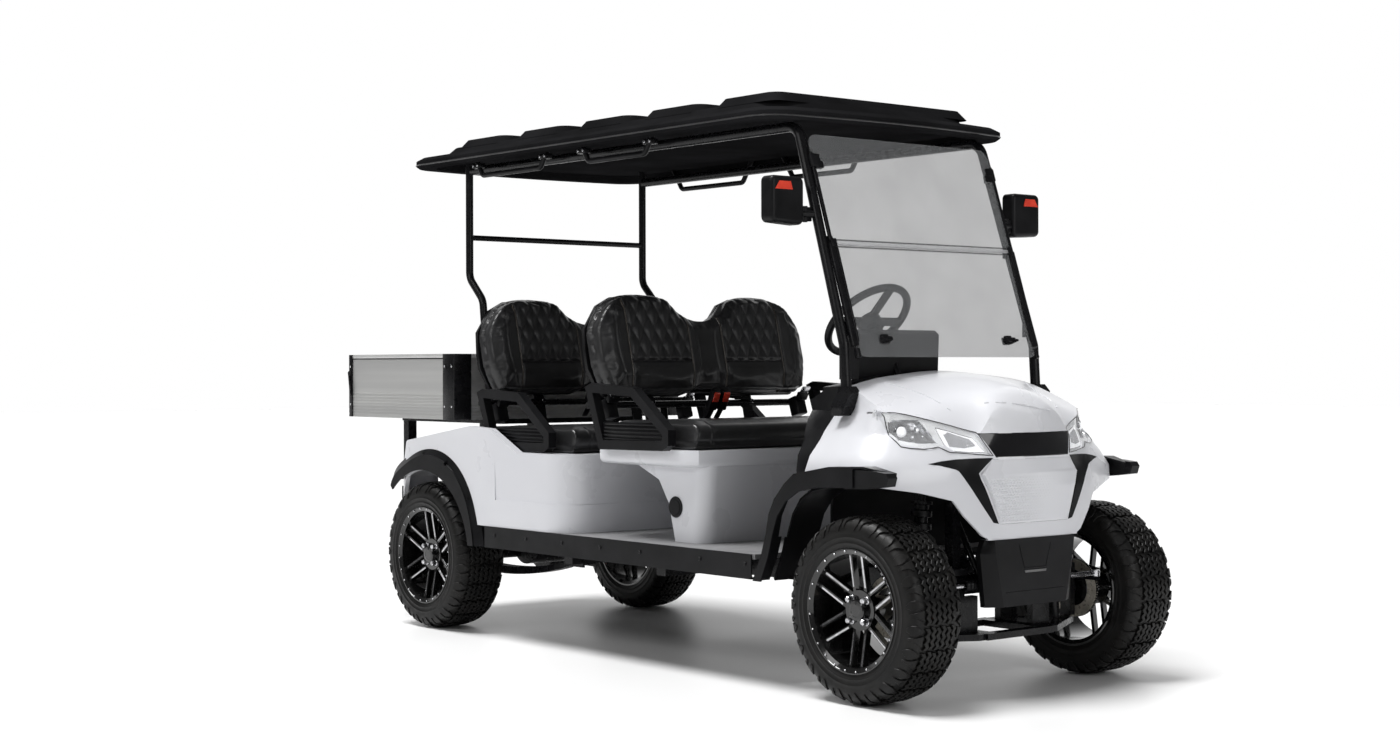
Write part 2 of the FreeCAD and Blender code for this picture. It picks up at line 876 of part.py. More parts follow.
# Crossmembers stand between the rails at the nose, behind the front axle, mid-deck, ahead of the springs and at the
# tail. Three of them carry deck rests, and outriggers reach from the rails to the skirts and the spring hangers.
def make_crossmembers():
    inner, outer = d.rail_inner, d.rail_inner + d.rail_width
    low = d.rail_low + d.hanger_width
    skirts = d.skirt_plane - d.skirt_lip - d.seat_gap
    springs = d.spring_inner + d.spring_width + d.hanger_width
    items = []
    for start, reach, has_rest in ((d.rail_front, None, False), (d.deck_front, None, True),
                                   (d.base_front + d.tray_corner, skirts, True), (d.rear_front, skirts, True),
                                   (d.spring_front_y - d.rail_width, springs, False)):
        end = start + d.rail_width
        bar = box_body("crossmember", (-inner, start, low), (inner, end, d.rail_top))
        rest = box_body("deck_rest", (-outer, start, d.rail_top), (outer, end, d.deck_low)) if has_rest else None
        items.append(fuse("rest_bar", [bar, rest]) if rest else bar)
        if reach:
            items += [side_box("outrigger", side * outer, side * reach, (start, low), (end, d.rail_top)) for side in (-1, 1)]
    items.append(box_body("rear_crossmember", (-inner, d.rail_rear - d.rail_width, d.rear_rail_low),
                          (inner, d.rail_rear, d.rear_rail_top)))
    group = doc.addObject("Part::Compound", "crossmember_group")
    group.Links = items
    return group


# What is bolted to the rails: subframe, shock towers, spring hangers, cargo legs and bumper bracket
def make_frame_brackets():
    brackets = [make_subframe()]
    for side in (-1, 1):
        brackets += [make_tower(side), *make_hangers(side), *make_cargo_legs(side)]
    cross_low = d.rail_low + d.hanger_width
    brackets.append(box_body("bumper_bracket", (-d.support_bar, -d.bumper_back + d.seat_gap, cross_low),
                             (d.support_bar, d.rail_front, cross_low + d.hanger_width)))
    group = doc.addObject("Part::Compound", "bracket_group")
    group.Links = brackets
    return group


# A box given by two corners in any order across the vehicle
def side_box(label, near, far, low, high):
    return box_body(label, (min_size(near, far), *low), (max_size(near, far), *high))


# The front subframe hangs below the rails and holds the lower arms
def make_subframe():
    base = d.lower_arm_base - d.arm_leg / 2
    reach = d.lower_arm_spread + d.arm_leg
    low, high = lower_low - d.seat_gap, lower_low + d.arm_thick + d.seat_gap
    pieces = [box_body("subframe", (-base, start, low), (base, start + 2 * d.arm_leg, high))
              for start in (-reach, reach - 2 * d.arm_leg)]
    half = d.rail_width / 2
    for side in (-1, 1):
        pieces.append(side_box("subframe_side", side * (base - d.rail_width), side * base, (-reach, low), (reach, high)))
        for end in (-1, 1):
            y = end * (d.rail_width + d.arm_leg)
            pieces.append(side_box("subframe_leg", side * (base - half), side * (d.rail_inner + d.hanger_width),
                                   (y - half / 2, lower_low), (y + half / 2, d.rail_low)))
    return fuse("subframe", pieces)


# Shock towers carry the dampers' heads and the upper arms
def make_tower(side):
    outer = d.rail_inner + d.rail_width
    head = side * (d.damper_top_plane + d.coil_radius)
    near = side * (outer + d.hanger_width - d.rail_width)
    far = side * (outer - d.hanger_width / 2)
    pieces = []
    for end in (-1, 1):
        y = end * (d.coil_radius + d.tower_width)
        pieces.append(side_box("tower_leg", near, far, (y - d.tower_width / 2, d.rail_top),
                               (y + d.tower_width / 2, d.damper_top + d.seat_gap)))
    reach = d.coil_radius + 1.5 * d.tower_width
    pieces.append(side_box("tower_head", near, head, (-reach, d.damper_top + d.seat_gap),
                           (reach, d.damper_top + d.hanger_width)))
    arm_base = side * (d.upper_arm_base - d.arm_leg / 2 - d.seat_gap)
    for end in (-1, 1):
        tower = end * d.coil_radius
        tip = end * (d.upper_arm_spread + d.arm_leg / 2)
        pieces.append(side_box("arm_bracket", near, arm_base, (min_size(tower, tip), upper_low),
                               (max_size(tower, tip), upper_low + d.arm_thick)))
    return fuse("tower", pieces)


# Spring hangers and shackles stand on both sides of each leaf
def make_hangers(side):
    items = []
    for x in (d.spring_inner - d.hanger_width - d.seat_gap, d.spring_inner + d.spring_width + d.seat_gap):
        near, far = side * x, side * (x + d.hanger_width)
        items.append(side_box("hanger", near, far, (d.spring_front_y - d.rail_width, d.spring_eye_z - d.spring_eye_radius),
                              (d.spring_front_y + d.spring_eye_radius, d.rail_low + d.hanger_width)))
        items.append(side_box("shackle", near, far, (d.spring_rear_y - d.spring_eye_radius, d.spring_rear_z - d.spring_eye_radius),
                              (d.spring_rear_y + d.spring_eye_radius, d.rear_rail_low)))
    return items


# Legs of the cargo support; the rear pair stands on the beam of the spring shackles
def make_cargo_legs(side):
    outer = side * (d.rail_inner + d.rail_width)
    near, far = side * d.support_plane, side * (d.support_plane + d.support_bar)
    legs = []
    for y in (d.hoop_y + d.support_bar, d.rail_rear - d.rail_width):
        foot = side_box("leg_foot", outer, far, (y, d.rear_rail_low), (y + d.support_bar, d.rear_rail_top))
        leg = side_box("cargo_leg", near, far, (y, d.rear_rail_top), (y + d.support_bar, d.box_low - d.support_height - d.seat_gap))
        legs.append([foot, leg])
    reach = side * (d.spring_inner + d.spring_width + d.hanger_width)
    legs[1].append(side_box("shackle_beam", outer, reach, (d.spring_rear_y - d.spring_eye_radius, d.rear_rail_low),
                            (d.spring_rear_y + d.spring_eye_radius, d.rear_rail_top)))
    return [fuse("leg", items) for items in legs]


def min_size(first, second):
    return first if float(first) < float(second) else second


def max_size(first, second):
    return second if float(first) < float(second) else first


finish(make_frame(), "chassis_frame")
finish(make_crossmembers(), "frame_crossmembers")
finish(make_frame_brackets(), "frame_brackets")


# Deck and skirts

deck_half = [(0, d.deck_front), (d.deck_neck_half_width, d.deck_front), (d.deck_neck_half_width, d.deck_shoulder),
             (d.deck_half_width, d.deck_shoulder), (d.deck_half_width, d.deck_rear), (0, d.deck_rear)]
deck = prism("deck", "XY", [closed_half(deck_half)], d.deck_low, d.deck_low + d.deck_thick)
finish(deck, "floor_deck")

deck_top = d.deck_low + d.deck_thick
skirt_outline = [(d.skirt_plane, d.skirt_low), (d.skirt_plane, deck_top), (d.skirt_plane - d.skirt_thick, deck_top),
                 (d.skirt_plane - d.skirt_thick, d.skirt_low + d.skirt_thick),
                 (d.skirt_plane - d.skirt_lip, d.skirt_low + d.skirt_thick), (d.skirt_plane - d.skirt_lip, d.skirt_low)]
skirt = prism("skirt", "XZ", [skirt_outline], d.skirt_front, d.skirt_rear)
finish(both_sides("skirt", skirt), "rocker_skirts")


# The front moulding is one thin skin. Its sides are a loft of plan outlines, its hood a loft of arches,
# and the panels are cut from it along the joint lines.
# Each plan outline: its height share, then (half-width share, length share from the nose) from the tail
# to the centre of the nose.
plan_shares = [
    (0.00, [(0.99, 1.0), (0.99, 0.62), (0.95, 0.26), (0.72, 0.125), (0.52, 0.045), (0.36, 0.016), (0.0, 0.012)]),
    (0.31, [(0.995, 1.0), (0.995, 0.62), (0.965, 0.24), (0.76, 0.13), (0.57, 0.068), (0.40, 0.035), (0.0, 0.006)]),
    (0.40, [(0.995, 1.0), (0.995, 0.62), (0.955, 0.24), (0.775, 0.135), (0.585, 0.075), (0.41, 0.05), (0.0, 0.003)]),
    (0.49, [(0.965, 1.0), (0.965, 0.60), (0.90, 0.26), (0.755, 0.17), (0.56, 0.10), (0.36, 0.036), (0.0, 0.0)]),
    (0.63, [(0.90, 1.0), (0.86, 0.60), (0.82, 0.33), (0.70, 0.235), (0.54, 0.15), (0.38, 0.082), (0.0, 0.012)]),
    (0.75, [(0.81, 1.0), (0.765, 0.62), (0.79, 0.33), (0.665, 0.235), (0.52, 0.16), (0.36, 0.10), (0.0, 0.045)]),
    (1.00, [(0.77, 1.0), (0.735, 0.60), (0.72, 0.42), (0.62, 0.30), (0.48, 0.24), (0.33, 0.20), (0.0, 0.15)]),
]
# Each arch: its length share from the nose, then height shares at the half-width shares below.
arch_half_shares = (0.0, 0.26, 0.44, 0.65, 0.85, 1.1)
arch_shares = [
    (-0.01, (0.61, 0.60, 0.57, 0.53, 0.47, 0.37)),
    (0.097, (0.825, 0.77, 0.585, 0.56, 0.52, 0.46)),
    (0.236, (0.91, 0.86, 0.79, 0.725, 0.66, 0.56)),
    (0.33, (0.935, 0.90, 0.845, 0.79, 0.73, 0.60)),
    (0.486, (0.967, 0.945, 0.915, 0.88, 0.80, 0.64)),
    (0.68, (0.985, 0.972, 0.955, 0.92, 0.84, 0.70)),
    (1.05, (0.99, 0.98, 0.965, 0.935, 0.86, 0.72)),
]
cowl_length = float(d.cowl_nose + d.cowl_tail)
cowl_height = float(d.cowl_high - d.cowl_low)


def smooth_through(points):
    curve = Part.BSplineCurve()
    curve.interpolate(points)
    return curve.toShape()


def plan_section(height_share, shares, inset):
    half_width = float(d.cowl_half_width)
    points = []
    for across_share, along_share in shares:
        across = across_share * half_width - inset * across_share
        along = along_share * cowl_length - float(d.cowl_nose) + inset * (1 - along_share)
        if along_share == 1.0:
            along += inset * 10
        points.append((across, along))
    height = float(d.cowl_low) + height_share * cowl_height
    if inset and height_share == 0:
        height -= inset * 10
    if inset and height_share == 1:
        height += inset
    ring = [Vector(across, along, height) for across, along in points]
    ring += [Vector(-across, along, height) for across, along in reversed(points[:-1])]
    return Part.Wire([smooth_through(ring), Part.LineSegment(ring[-1], ring[0]).toShape()])


def arch_section(length_share, shares, inset):
    half_width = float(d.cowl_half_width)
    along = length_share * cowl_length - float(d.cowl_nose)
    half = [(across * half_width, float(d.cowl_low) + share * cowl_height - inset)
            for across, share in zip(arch_half_shares, shares)]
    ring = [Vector(-across, along, up) for across, up in reversed(half)] + [Vector(across, along, up) for across, up in half[1:]]
    low = float(d.cowl_low) - 20 * float(d.cowl_wall)
    corners = [ring[-1], Vector(ring[-1].x, along, low), Vector(ring[0].x, along, low), ring[0]]
    sides = [Part.LineSegment(first, last).toShape() for first, last in zip(corners, corners[1:])]
    return Part.Wire([smooth_through(ring)] + sides)


def hood_mass(inset):
    return Part.makeLoft([arch_section(share, outline, inset) for share, outline in arch_shares], True, False)


def front_mass(inset):
    sides = Part.makeLoft([plan_section(share, outline, inset) for share, outline in plan_shares], True, True)
    return sides.common(hood_mass(inset))


def flat_prism(points, plane, start, stop):
    start, stop = float(start), float(stop)
    if plane == "XZ":
        corners = [Vector(float(a), start, float(b)) for a, b in points]
        depth = Vector(0, stop - start, 0)
    elif plane == "YZ":
        corners = [Vector(start, float(a), float(b)) for a, b in points]
        depth = Vector(stop - start, 0, 0)
    else:
        corners = [Vector(float(a), float(b), start) for a, b in points]
        depth = Vector(0, 0, stop - start)
    return Part.Face(Part.makePolygon(corners + corners[:1])).extrude(depth)


def grown(points, gap):
    wire = Part.makePolygon([Vector(float(a), float(b), 0) for a, b in points + points[:1]])
    face = Part.Face(wire)
    bigger = face.makeOffset2D(float(gap), 2)
    return [(vertex.X, vertex.Y) for vertex in bigger.OuterWire.OrderedVertexes]


def both(shape):
    return shape.fuse(shape.mirror(Vector(0, 0, 0), Vector(1, 0, 0)))


outer_mass = front_mass(0)
inner_mass = front_mass(float(d.cowl_wall))
skin = outer_mass.cut(inner_mass)

# Joint lines on the front, as seen from ahead: (across, up) in shares of the half-width and the height
band_shares = [(-0.375, 0.625), (0.375, 0.625), (0.30, 0.485), (-0.30, 0.485)]
nose_shares = [(-0.322, 0.475), (0.322, 0.475), (0.395, 0.39), (0.275, 0.10), (-0.275, 0.10), (-0.395, 0.39)]
insert_shares = [(0.332, 0.483), (0.66, 0.45), (0.53, 0.415), (0.32, 0.11), (0.288, 0.105), (0.408, 0.392)]
lamp_shares = [(0.82, 0.75), (0.80, 0.572), (0.66, 0.535), (0.575, 0.558), (0.515, 0.512), (0.328, 0.497), (0.388, 0.63),
               (0.66, 0.725)]
lower_cut_shares = [(0.37, -0.2), (0.37, 0.02), (0.41, 0.04), (0.52, 0.155), (0.585, 0.245), (0.765, 0.293), (0.96, 0.325),
                    (1.2, 0.325), (1.2, -0.2)]


def from_ahead(shares):
    half_width = float(d.cowl_half_width)
    return [(across * half_width, float(d.cowl_low) + up * cowl_height) for across, up in shares]


def joint_prism(shares, gap, far_share):
    far = far_share * cowl_length - float(d.cowl_nose)
    return flat_prism(grown(from_ahead(shares), -gap) if gap else from_ahead(shares), "XZ", -2 * float(d.cowl_nose), far)


def make_front_panels():
    gap = float(d.panel_gap) / 2
    lower = both(flat_prism(from_ahead(lower_cut_shares), "XZ", -2 * float(d.cowl_nose), 2 * float(d.cowl_tail)))
    wide = float(2 * d.cowl_half_width)
    foot = float(d.bumper_high + d.seat_gap)
    under_bumper = Part.makeBox(2 * wide, 2 * wide, foot, Vector(-wide, -wide, 0))
    trimmed = skin.cut(lower).cut(under_bumper)
    regions = {
        "grille_band": joint_prism(band_shares, 0, 0.3),
        "nose_panel": joint_prism(nose_shares, 0, 0.3),
        "fascia_inserts": both(joint_prism(insert_shares, 0, 0.4)),
        "headlamps": both(joint_prism(lamp_shares, 0, 0.45)),
    }
    pieces = {
        "grille_band": joint_prism(band_shares, gap, 0.3),
        "nose_panel": joint_prism(nose_shares, gap, 0.3),
        "fascia_inserts": both(joint_prism(insert_shares, gap, 0.4)),
        "headlamps": both(joint_prism(lamp_shares, gap, 0.45)),
    }
    cowl = trimmed
    for region in regions.values():
        cowl = cowl.cut(region)
    # the white moulding ends at a line that falls from the hood's rear corner to the flare
    rear_line = [(-2 * d.cowl_nose, 0), (-2 * d.cowl_nose, 2 * d.cowl_high), (d.hood_rear, 2 * d.cowl_high),
                 (d.hood_rear, d.cowl_high), (0.84 * d.hood_rear, 0.964 * d.cowl_high), (1.15 * d.hood_rear, 0.877 * d.cowl_high),
                 (1.1 * d.hood_rear, 0.78 * d.cowl_high), (1.17 * d.hood_rear, 0.68 * d.cowl_high), (1.17 * d.hood_rear, 0)]
    wide = 2 * d.cowl_half_width
    cowl = cowl.common(flat_prism(rear_line, "YZ", -wide, wide))
    trim_line = [(d.hood_rear, 0.985 * d.cowl_high), (0.84 * d.hood_rear + d.panel_gap, 0.964 * d.cowl_high),
                 (1.15 * d.hood_rear + d.panel_gap, 0.877 * d.cowl_high), (1.1 * d.hood_rear + d.panel_gap, 0.78 * d.cowl_high),
                 (1.17 * d.hood_rear + d.panel_gap, 0.68 * d.cowl_high), (1.17 * d.hood_rear + d.panel_gap, 0.645 * d.cowl_high),
                 (1.5 * d.hood_rear, 0.62 * d.cowl_high),
                 (1.36 * d.hood_rear, 0.68 * d.cowl_high), (1.44 * d.hood_rear, 0.78 * d.cowl_high), (1.62 * d.hood_rear, 0.84 * d.cowl_high),
                 (1.70 * d.hood_rear, 0.9 * d.cowl_high), (1.43 * d.hood_rear, 0.937 * d.cowl_high), (1.25 * d.hood_rear, 0.985 * d.cowl_high)]
    inner_edge = d.dash_half_width + d.panel_gap
    trim = trimmed.common(flat_prism(trim_line, "YZ", inner_edge, wide))
    made = {name: trimmed.common(region) for name, region in pieces.items()}
    made["front_cowl"] = cowl
    made["cowl_side_trims"] = both(trim)
    return made


front_panels = make_front_panels()
for label, shape in front_panels.items():
    finish(feature(label, shape), label)


# Front bumper: a hollow black moulding under the nose

def bumper_section(height, half, wing, inset):
    front = -float(d.bumper_front) + inset
    back = -float(d.bumper_back) + (inset * 4 if inset else 0)
    corner = front + 0.25 * (float(d.bumper_front) - float(d.bumper_back))
    half, wing = float(half) - inset, float(wing) - inset
    points = [(half, front), (wing, corner + 0.5 * (back - corner)), (wing, back), (-wing, back),
              (-wing, corner + 0.5 * (back - corner)), (-half, front)]
    return Part.makePolygon([Vector(x, y, float(height)) for x, y in points + points[:1]])


def bumper_mass(inset):
    low = float(d.bumper_low) + inset
    high = float(d.bumper_high) - inset
    step = 0.8 * (high - low) + low
    sections = [bumper_section(low, d.bumper_low_half, d.bumper_wing_half - d.bumper_rake, inset),
                bumper_section(step, d.bumper_top_half - d.bumper_rake / 4, d.bumper_wing_half, inset),
                bumper_section(high, d.bumper_top_half, d.bumper_top_half + d.bumper_rake / 2, inset)]
    return Part.makeLoft(sections, True, True)


finish(feature("bumper", bumper_mass(0).cut(bumper_mass(float(d.bumper_wall)))), "front_bumper")


# Front fender flares with their arch liners: (along, up) points of the arch from its front end to the sill
arch_inner_points = [(-0.43, 2.289), (0.14, 2.289), (0.52, 2.276), (0.83, 2.217), (1.03, 2.103), (1.17, 1.93), (1.25, 1.724),
                     (1.32, 1.483), (1.45, 1.193)]


def arch_points(shares):
    radius = float(d.tyre_radius)
    return [(along * radius, up * radius) for along, up in shares]


flare_top_shares = [(-0.45, 2.46), (-0.14, 2.52), (0.34, 2.505), (0.90, 2.41), (1.06, 2.29), (1.22, 2.12), (1.31, 1.95),
                    (1.36, 1.724), (1.44, 1.483), (1.58, 1.193)]


def make_flare():
    inner = arch_points(arch_inner_points)
    outer = arch_points(flare_top_shares)
    shell = flat_prism(outer + inner[::-1], "YZ", d.flare_inner, d.flare_plane)
    wall = float(d.flare_wall)
    core_outer = [(along, up - wall) for along, up in outer]
    core = flat_prism([(along + (wall if number == 0 else -wall * 0.7), up) for number, (along, up) in enumerate(core_outer)]
                      + [(along - wall * 2, up - wall * 3) for along, up in inner[::-1]], "YZ", float(d.flare_inner) - wall,
                      float(d.flare_plane) - wall)
    lip = shell.cut(core)
    thick = float(d.liner_thick)
    liner_out = [(along + thick * (0 if number == 0 else 0.8), up + thick) for number, (along, up) in enumerate(inner)]
    liner = flat_prism(inner + liner_out[::-1], "YZ", d.liner_inner, float(d.flare_inner) + wall)
    outside = main_solids(lip.common(flare_plan()).cut(outer_mass))
    inside = main_solids(liner.common(flare_plan()).cut(skin))
    return Part.makeCompound(outside + inside)


# The pieces of a shape that aren't slivers
def main_solids(shape):
    largest = max(solid.Volume for solid in shape.Solids)
    return [solid for solid in shape.Solids if solid.Volume > 0.2 * largest]


# Seen from above the flare's outer edge runs in towards the nose
def flare_plan():
    radius = float(d.tyre_radius)
    plane = float(d.flare_plane)
    corners = [(0, -2 * radius), (0.90 * plane, -2 * radius), (0.90 * plane, -0.44 * radius), (0.95 * plane, -0.30 * radius),
               (0.985 * plane, -0.1 * radius), (1.001 * plane, 0.2 * radius), (1.001 * plane, 3 * radius), (0, 3 * radius)]
    return flat_prism(corners, "XY", 0, 4 * radius)


flare = feature("flare", make_flare())
finish(both_sides("flare", flare), "front_flares")


# Dashboard: firewall, shelf and instrument pod

def make_dash():
    front, back, top = d.dash_front, d.dash_back, d.dash_top
    skin_thick = d.dash_skin
    outline = [(front, top - 0.1 * skin_thick), (front + 6 * skin_thick, top), (back, 0.967 * top), (back - 0.5 * skin_thick, 0.93 * top),
               (d.dash_knee, d.dash_shelf_low), (d.dash_knee, deck_top + d.seat_gap), (d.dash_knee - skin_thick, deck_top + d.seat_gap),
               (d.dash_knee - skin_thick, d.dash_shelf_low - skin_thick), (front, d.dash_shelf_low + 2 * skin_thick)]
    panel = prism("dash", "YZ", [outline], -d.dash_half_width, d.dash_half_width)
    crowned = feature("dash_panel", panel.Shape.common(hood_mass(0)))
    pod_front = front + skin_thick
    pod_outline = [(pod_front, top - skin_thick), (pod_front - 0.4 * skin_thick, d.pod_top - skin_thick),
                   (pod_front + skin_thick, d.pod_top),
                   (pod_front + 0.55 * d.pod_depth, d.pod_top), (pod_front + 0.95 * d.pod_depth, 0.965 * d.pod_top),
                   (pod_front + 0.95 * d.pod_depth, top - skin_thick)]
    pod = prism("pod", "YZ", [pod_outline], d.pod_right, d.pod_left)
    whole = fuse("dash", [crowned, pod])
    sleeve = feature("column_hole", column_parts(float(d.pin_gap)))
    return cut("dash", whole, sleeve)


finish(make_dash(), "dashboard")

pedal_items = []
for x in (-d.column_plane * 0.5, -d.column_plane * 1.1):
    pad_low = d.deck_low + d.deck_thick + d.pedal_height
    pedal_y = d.dash_knee + d.pedal_thick
    plate = box_body("pedal", (-x - d.pedal_width / 2, pedal_y, pad_low),
                     (-x + d.pedal_width / 2, pedal_y + d.pedal_thick, pad_low + d.pedal_height))
    stalk = box_body("stalk", (-x - d.pedal_thick / 2, d.dash_knee + d.seat_gap, pad_low + d.pedal_height / 2),
                     (-x + d.pedal_thick / 2, pedal_y, pad_low + d.pedal_height / 2 + d.pedal_thick))
    pedal_items.append(fuse("pedal", [plate, stalk]))
pedal_group = doc.addObject("Part::Compound", "pedal_group")
pedal_group.Links = pedal_items
finish(pedal_group, "pedals")


# Front pillars, windscreen and mirrors

screen_slope = (d.pillar_head_y - d.pillar_bend_y) / (d.canopy_under - d.pillar_bend_z)


def pillar_y(height):
    return d.pillar_bend_y + screen_slope * (height - d.pillar_bend_z)


# The post leans back from its boot and bends under the roof's rim, where the roof rail takes over
def make_pillar():
    rail_z = d.roof_low - d.seat_gap - d.pillar_radius
    foot = vector(d.pillar_plane, d.pillar_foot_y, d.pillar_foot_low)
    bend = vector(d.pillar_plane, d.pillar_bend_y, d.pillar_bend_z)
    head = vector(d.pillar_head_plane, pillar_y(rail_z), rail_z)
    rail = vector(d.pillar_head_plane, d.roof_rail_start, rail_z)
    post = tube([foot, bend, head, rail], d.pillar_radius, d.bend_radius)
    shape = post.fuse(make_boot())
    for height in (d.screen_low + 2 * d.clip_height, d.screen_split, d.screen_high - 2 * d.clip_height):
        near = pillar_y(height) - d.screen_lead + d.screen_thick
        low = height - d.clip_height / 2
        clip = Part.makeBox(float(d.clip_width), float(d.screen_lead - d.screen_thick), float(d.clip_height),
                            vector(d.pillar_head_plane - d.clip_width, near, low))
        shape = shape.fuse(clip)
    return shape.cut(front_mass(-float(d.seat_gap))).cut(screen_sheet(d.screen_low, d.screen_high, 2 * d.seat_gap))


# The boot is a loft of level rectangles that flares out and forwards to the cowl:
# (height share, inward, outward, forward and rearward reach in shares of the boot's half width)
boot_shares = [(1.25, 1.0, 1.0, 1.0, 1.0), (0.95, 1.1, 1.15, 2.0, 1.15), (0.4, 0.5, 2.1, 1.5, 1.6), (0.0, 0.0, 2.0, 0.6, 1.7)]


def make_boot():
    half = float(d.boot_half)
    x, y = float(d.pillar_plane), float(d.pillar_foot_y)
    wires = []
    for height_share, *reach_shares in boot_shares:
        inward, outward, forward, rearward = (share * half for share in reach_shares)
        height = float(d.pillar_foot_low) + height_share * float(d.pillar_foot_high - d.pillar_foot_low)
        corners = [Vector(x - inward, y - forward, height), Vector(x + outward, y - forward, height),
                   Vector(x + outward, y + rearward, height), Vector(x - inward, y + rearward, height)]
        wires.append(Part.makePolygon(corners + corners[:1]))
    return Part.makeLoft(wires, True, True)


# The screen leans back with the pillars, a little ahead of them
def screen_outline(low, high, gap):
    lead = d.screen_lead
    half = d.screen_thick / 2 + gap
    return [(pillar_y(low) - lead - half, low), (pillar_y(high) - lead - half, high), (pillar_y(high) - lead + half, high),
            (pillar_y(low) - lead + half, low)]


def screen_sheet(low, high, gap):
    return flat_prism(screen_outline(low, high, gap), "YZ", -d.screen_half_width, d.screen_half_width)


# Each pane has two square corners at the fold between the panes and two round ones at its outer edge
def make_screen(label, fold, outer):
    half, corner = float(d.screen_half_width), float(d.screen_corner)
    fold_z, outer_z = float(fold), float(outer)
    inward = math.copysign(1, fold_z - outer_z)
    turn = corner * (1 - math.sqrt(0.5))
    arcs = []
    for side in (-1, 1):
        across = side * half
        arc = [Vector(across, 0, outer_z + inward * corner), Vector(across - side * turn, 0, outer_z + inward * turn),
               Vector(across - side * corner, 0, outer_z)]
        arcs.append(arc[::side])
    right, left = arcs
    ends = [Vector(-half, 0, fold_z), Vector(half, 0, fold_z)]
    edges = [Part.LineSegment(ends[1], ends[0]).toShape(), Part.LineSegment(ends[0], right[-1]).toShape(),
             Part.Arc(*right[::-1]).toShape(), Part.LineSegment(right[0], left[-1]).toShape(),
             Part.Arc(*left[::-1]).toShape(), Part.LineSegment(left[0], ends[1]).toShape()]
    front_view = Part.Face(Part.Wire(edges)).extrude(vector(0, d.cowl_high, 0))
    low, high = sorted((fold, outer), key=float)
    sheet = flat_prism(screen_outline(low, high, 0), "YZ", -d.screen_half_width, d.screen_half_width)
    return finish(feature(label, sheet.common(front_view)), label)


finish(both_sides("pillar", feature("pillar", make_pillar())), "front_pillars")
make_screen("windscreen_lower", d.screen_split - d.seat_gap, d.screen_low)
make_screen("windscreen_upper", d.screen_split + d.seat_gap, d.screen_high)


# Roof rails run from the pillars' ends to the hoop
def make_roof_rail():
    start = d.roof_rail_start + d.seat_gap
    length = d.hoop_y - d.hoop_radius - d.seat_gap - start
    place = (d.pillar_head_plane, start, d.roof_low - d.seat_gap - d.pillar_radius)
    return rod("roof_rail", d.pillar_radius, length, place, Vector(0, 1, 0))


finish(both_sides("roof_rail", make_roof_rail()), "roof_rails")


def make_mirror():
    half_wide, half_deep, half_high = d.mirror_width / 2, d.mirror_depth / 2, d.mirror_height / 2
    body = new_body("mirror")
    outline = [(d.mirror_plane - half_wide, d.mirror_z - half_high), (d.mirror_plane + half_wide, d.mirror_z - 0.9 * half_high),
               (d.mirror_plane + half_wide, d.mirror_z + half_high), (d.mirror_plane - half_wide, d.mirror_z + half_high)]
    add_pad(body, "XZ", [outline], d.mirror_y - half_deep, d.mirror_y + half_deep)
    round_off(body, lambda edge: runs_along(edge, Vector(0, 1, 0)), d.mirror_corner)
    front_y = float(d.mirror_y) - float(half_deep)
    round_off(body, lambda edge: abs(edge.BoundBox.YMax - front_y) < 0.01, d.mirror_corner * 0.7)
    arm_y = float(pillar_y(d.mirror_arm_z))
    start = vector(d.pillar_head_plane + d.pillar_radius * 0.6, arm_y, d.mirror_arm_z)
    end = vector(d.mirror_plane - half_wide + d.mirror_corner, d.mirror_y, d.mirror_arm_z)
    arm = Part.makeCylinder(float(d.mirror_arm_thick) / 2, (end - start).Length, start, end - start)
    low = vector(d.pillar_plane, d.pillar_bend_y, d.pillar_bend_z)
    rise = vector(d.pillar_head_plane, d.pillar_head_y, d.canopy_under) - low
    post = Part.makeCylinder(float(d.pillar_radius + d.seat_gap), rise.Length, low, rise)
    return fuse("mirror", [body, feature("mirror_arm", arm.cut(post))])


finish(both_sides("mirror", make_mirror()), "mirrors")


# Grab handles

def make_handle(start, end):
    top = float(d.roof_rim_high - d.roof_skin - d.seat_gap)
    low = float(d.roof_low - d.handle_drop)
    slant = float(d.handle_slant) / float(d.handle_drop)
    plane = float(d.handle_plane)
    over = top + float(d.handle_radius)
    run = float(end - start)
    inset = slant * (over - low)
    middle = float(start) + run / 2
    half_low, half_high = run / 2 - float(d.handle_slant), run / 2 - float(d.handle_slant) + inset
    points = [Vector(plane, middle - half_high, over), Vector(plane, middle - half_low, low), Vector(plane, middle + half_low, low),
              Vector(plane, middle + half_high, over)]
    bar = tube(points, d.handle_radius, 0.4 * float(d.bend_radius))
    return bar.cut(Part.makeBox(run, 2 * run, run, Vector(plane - run / 2, middle - run, top)))


handles = [make_handle(d.front_handle_start, d.front_handle_end), make_handle(d.rear_handle_start, d.rear_handle_end)]
handles += [shape.mirror(Vector(0, 0, 0), Vector(1, 0, 0)) for shape in handles]
finish(feature("handles", Part.makeCompound(handles)), "grab_handles")


# Roof: a dished moulding with a rolled rim, a raised crown and five ribs, each a loft of level outlines

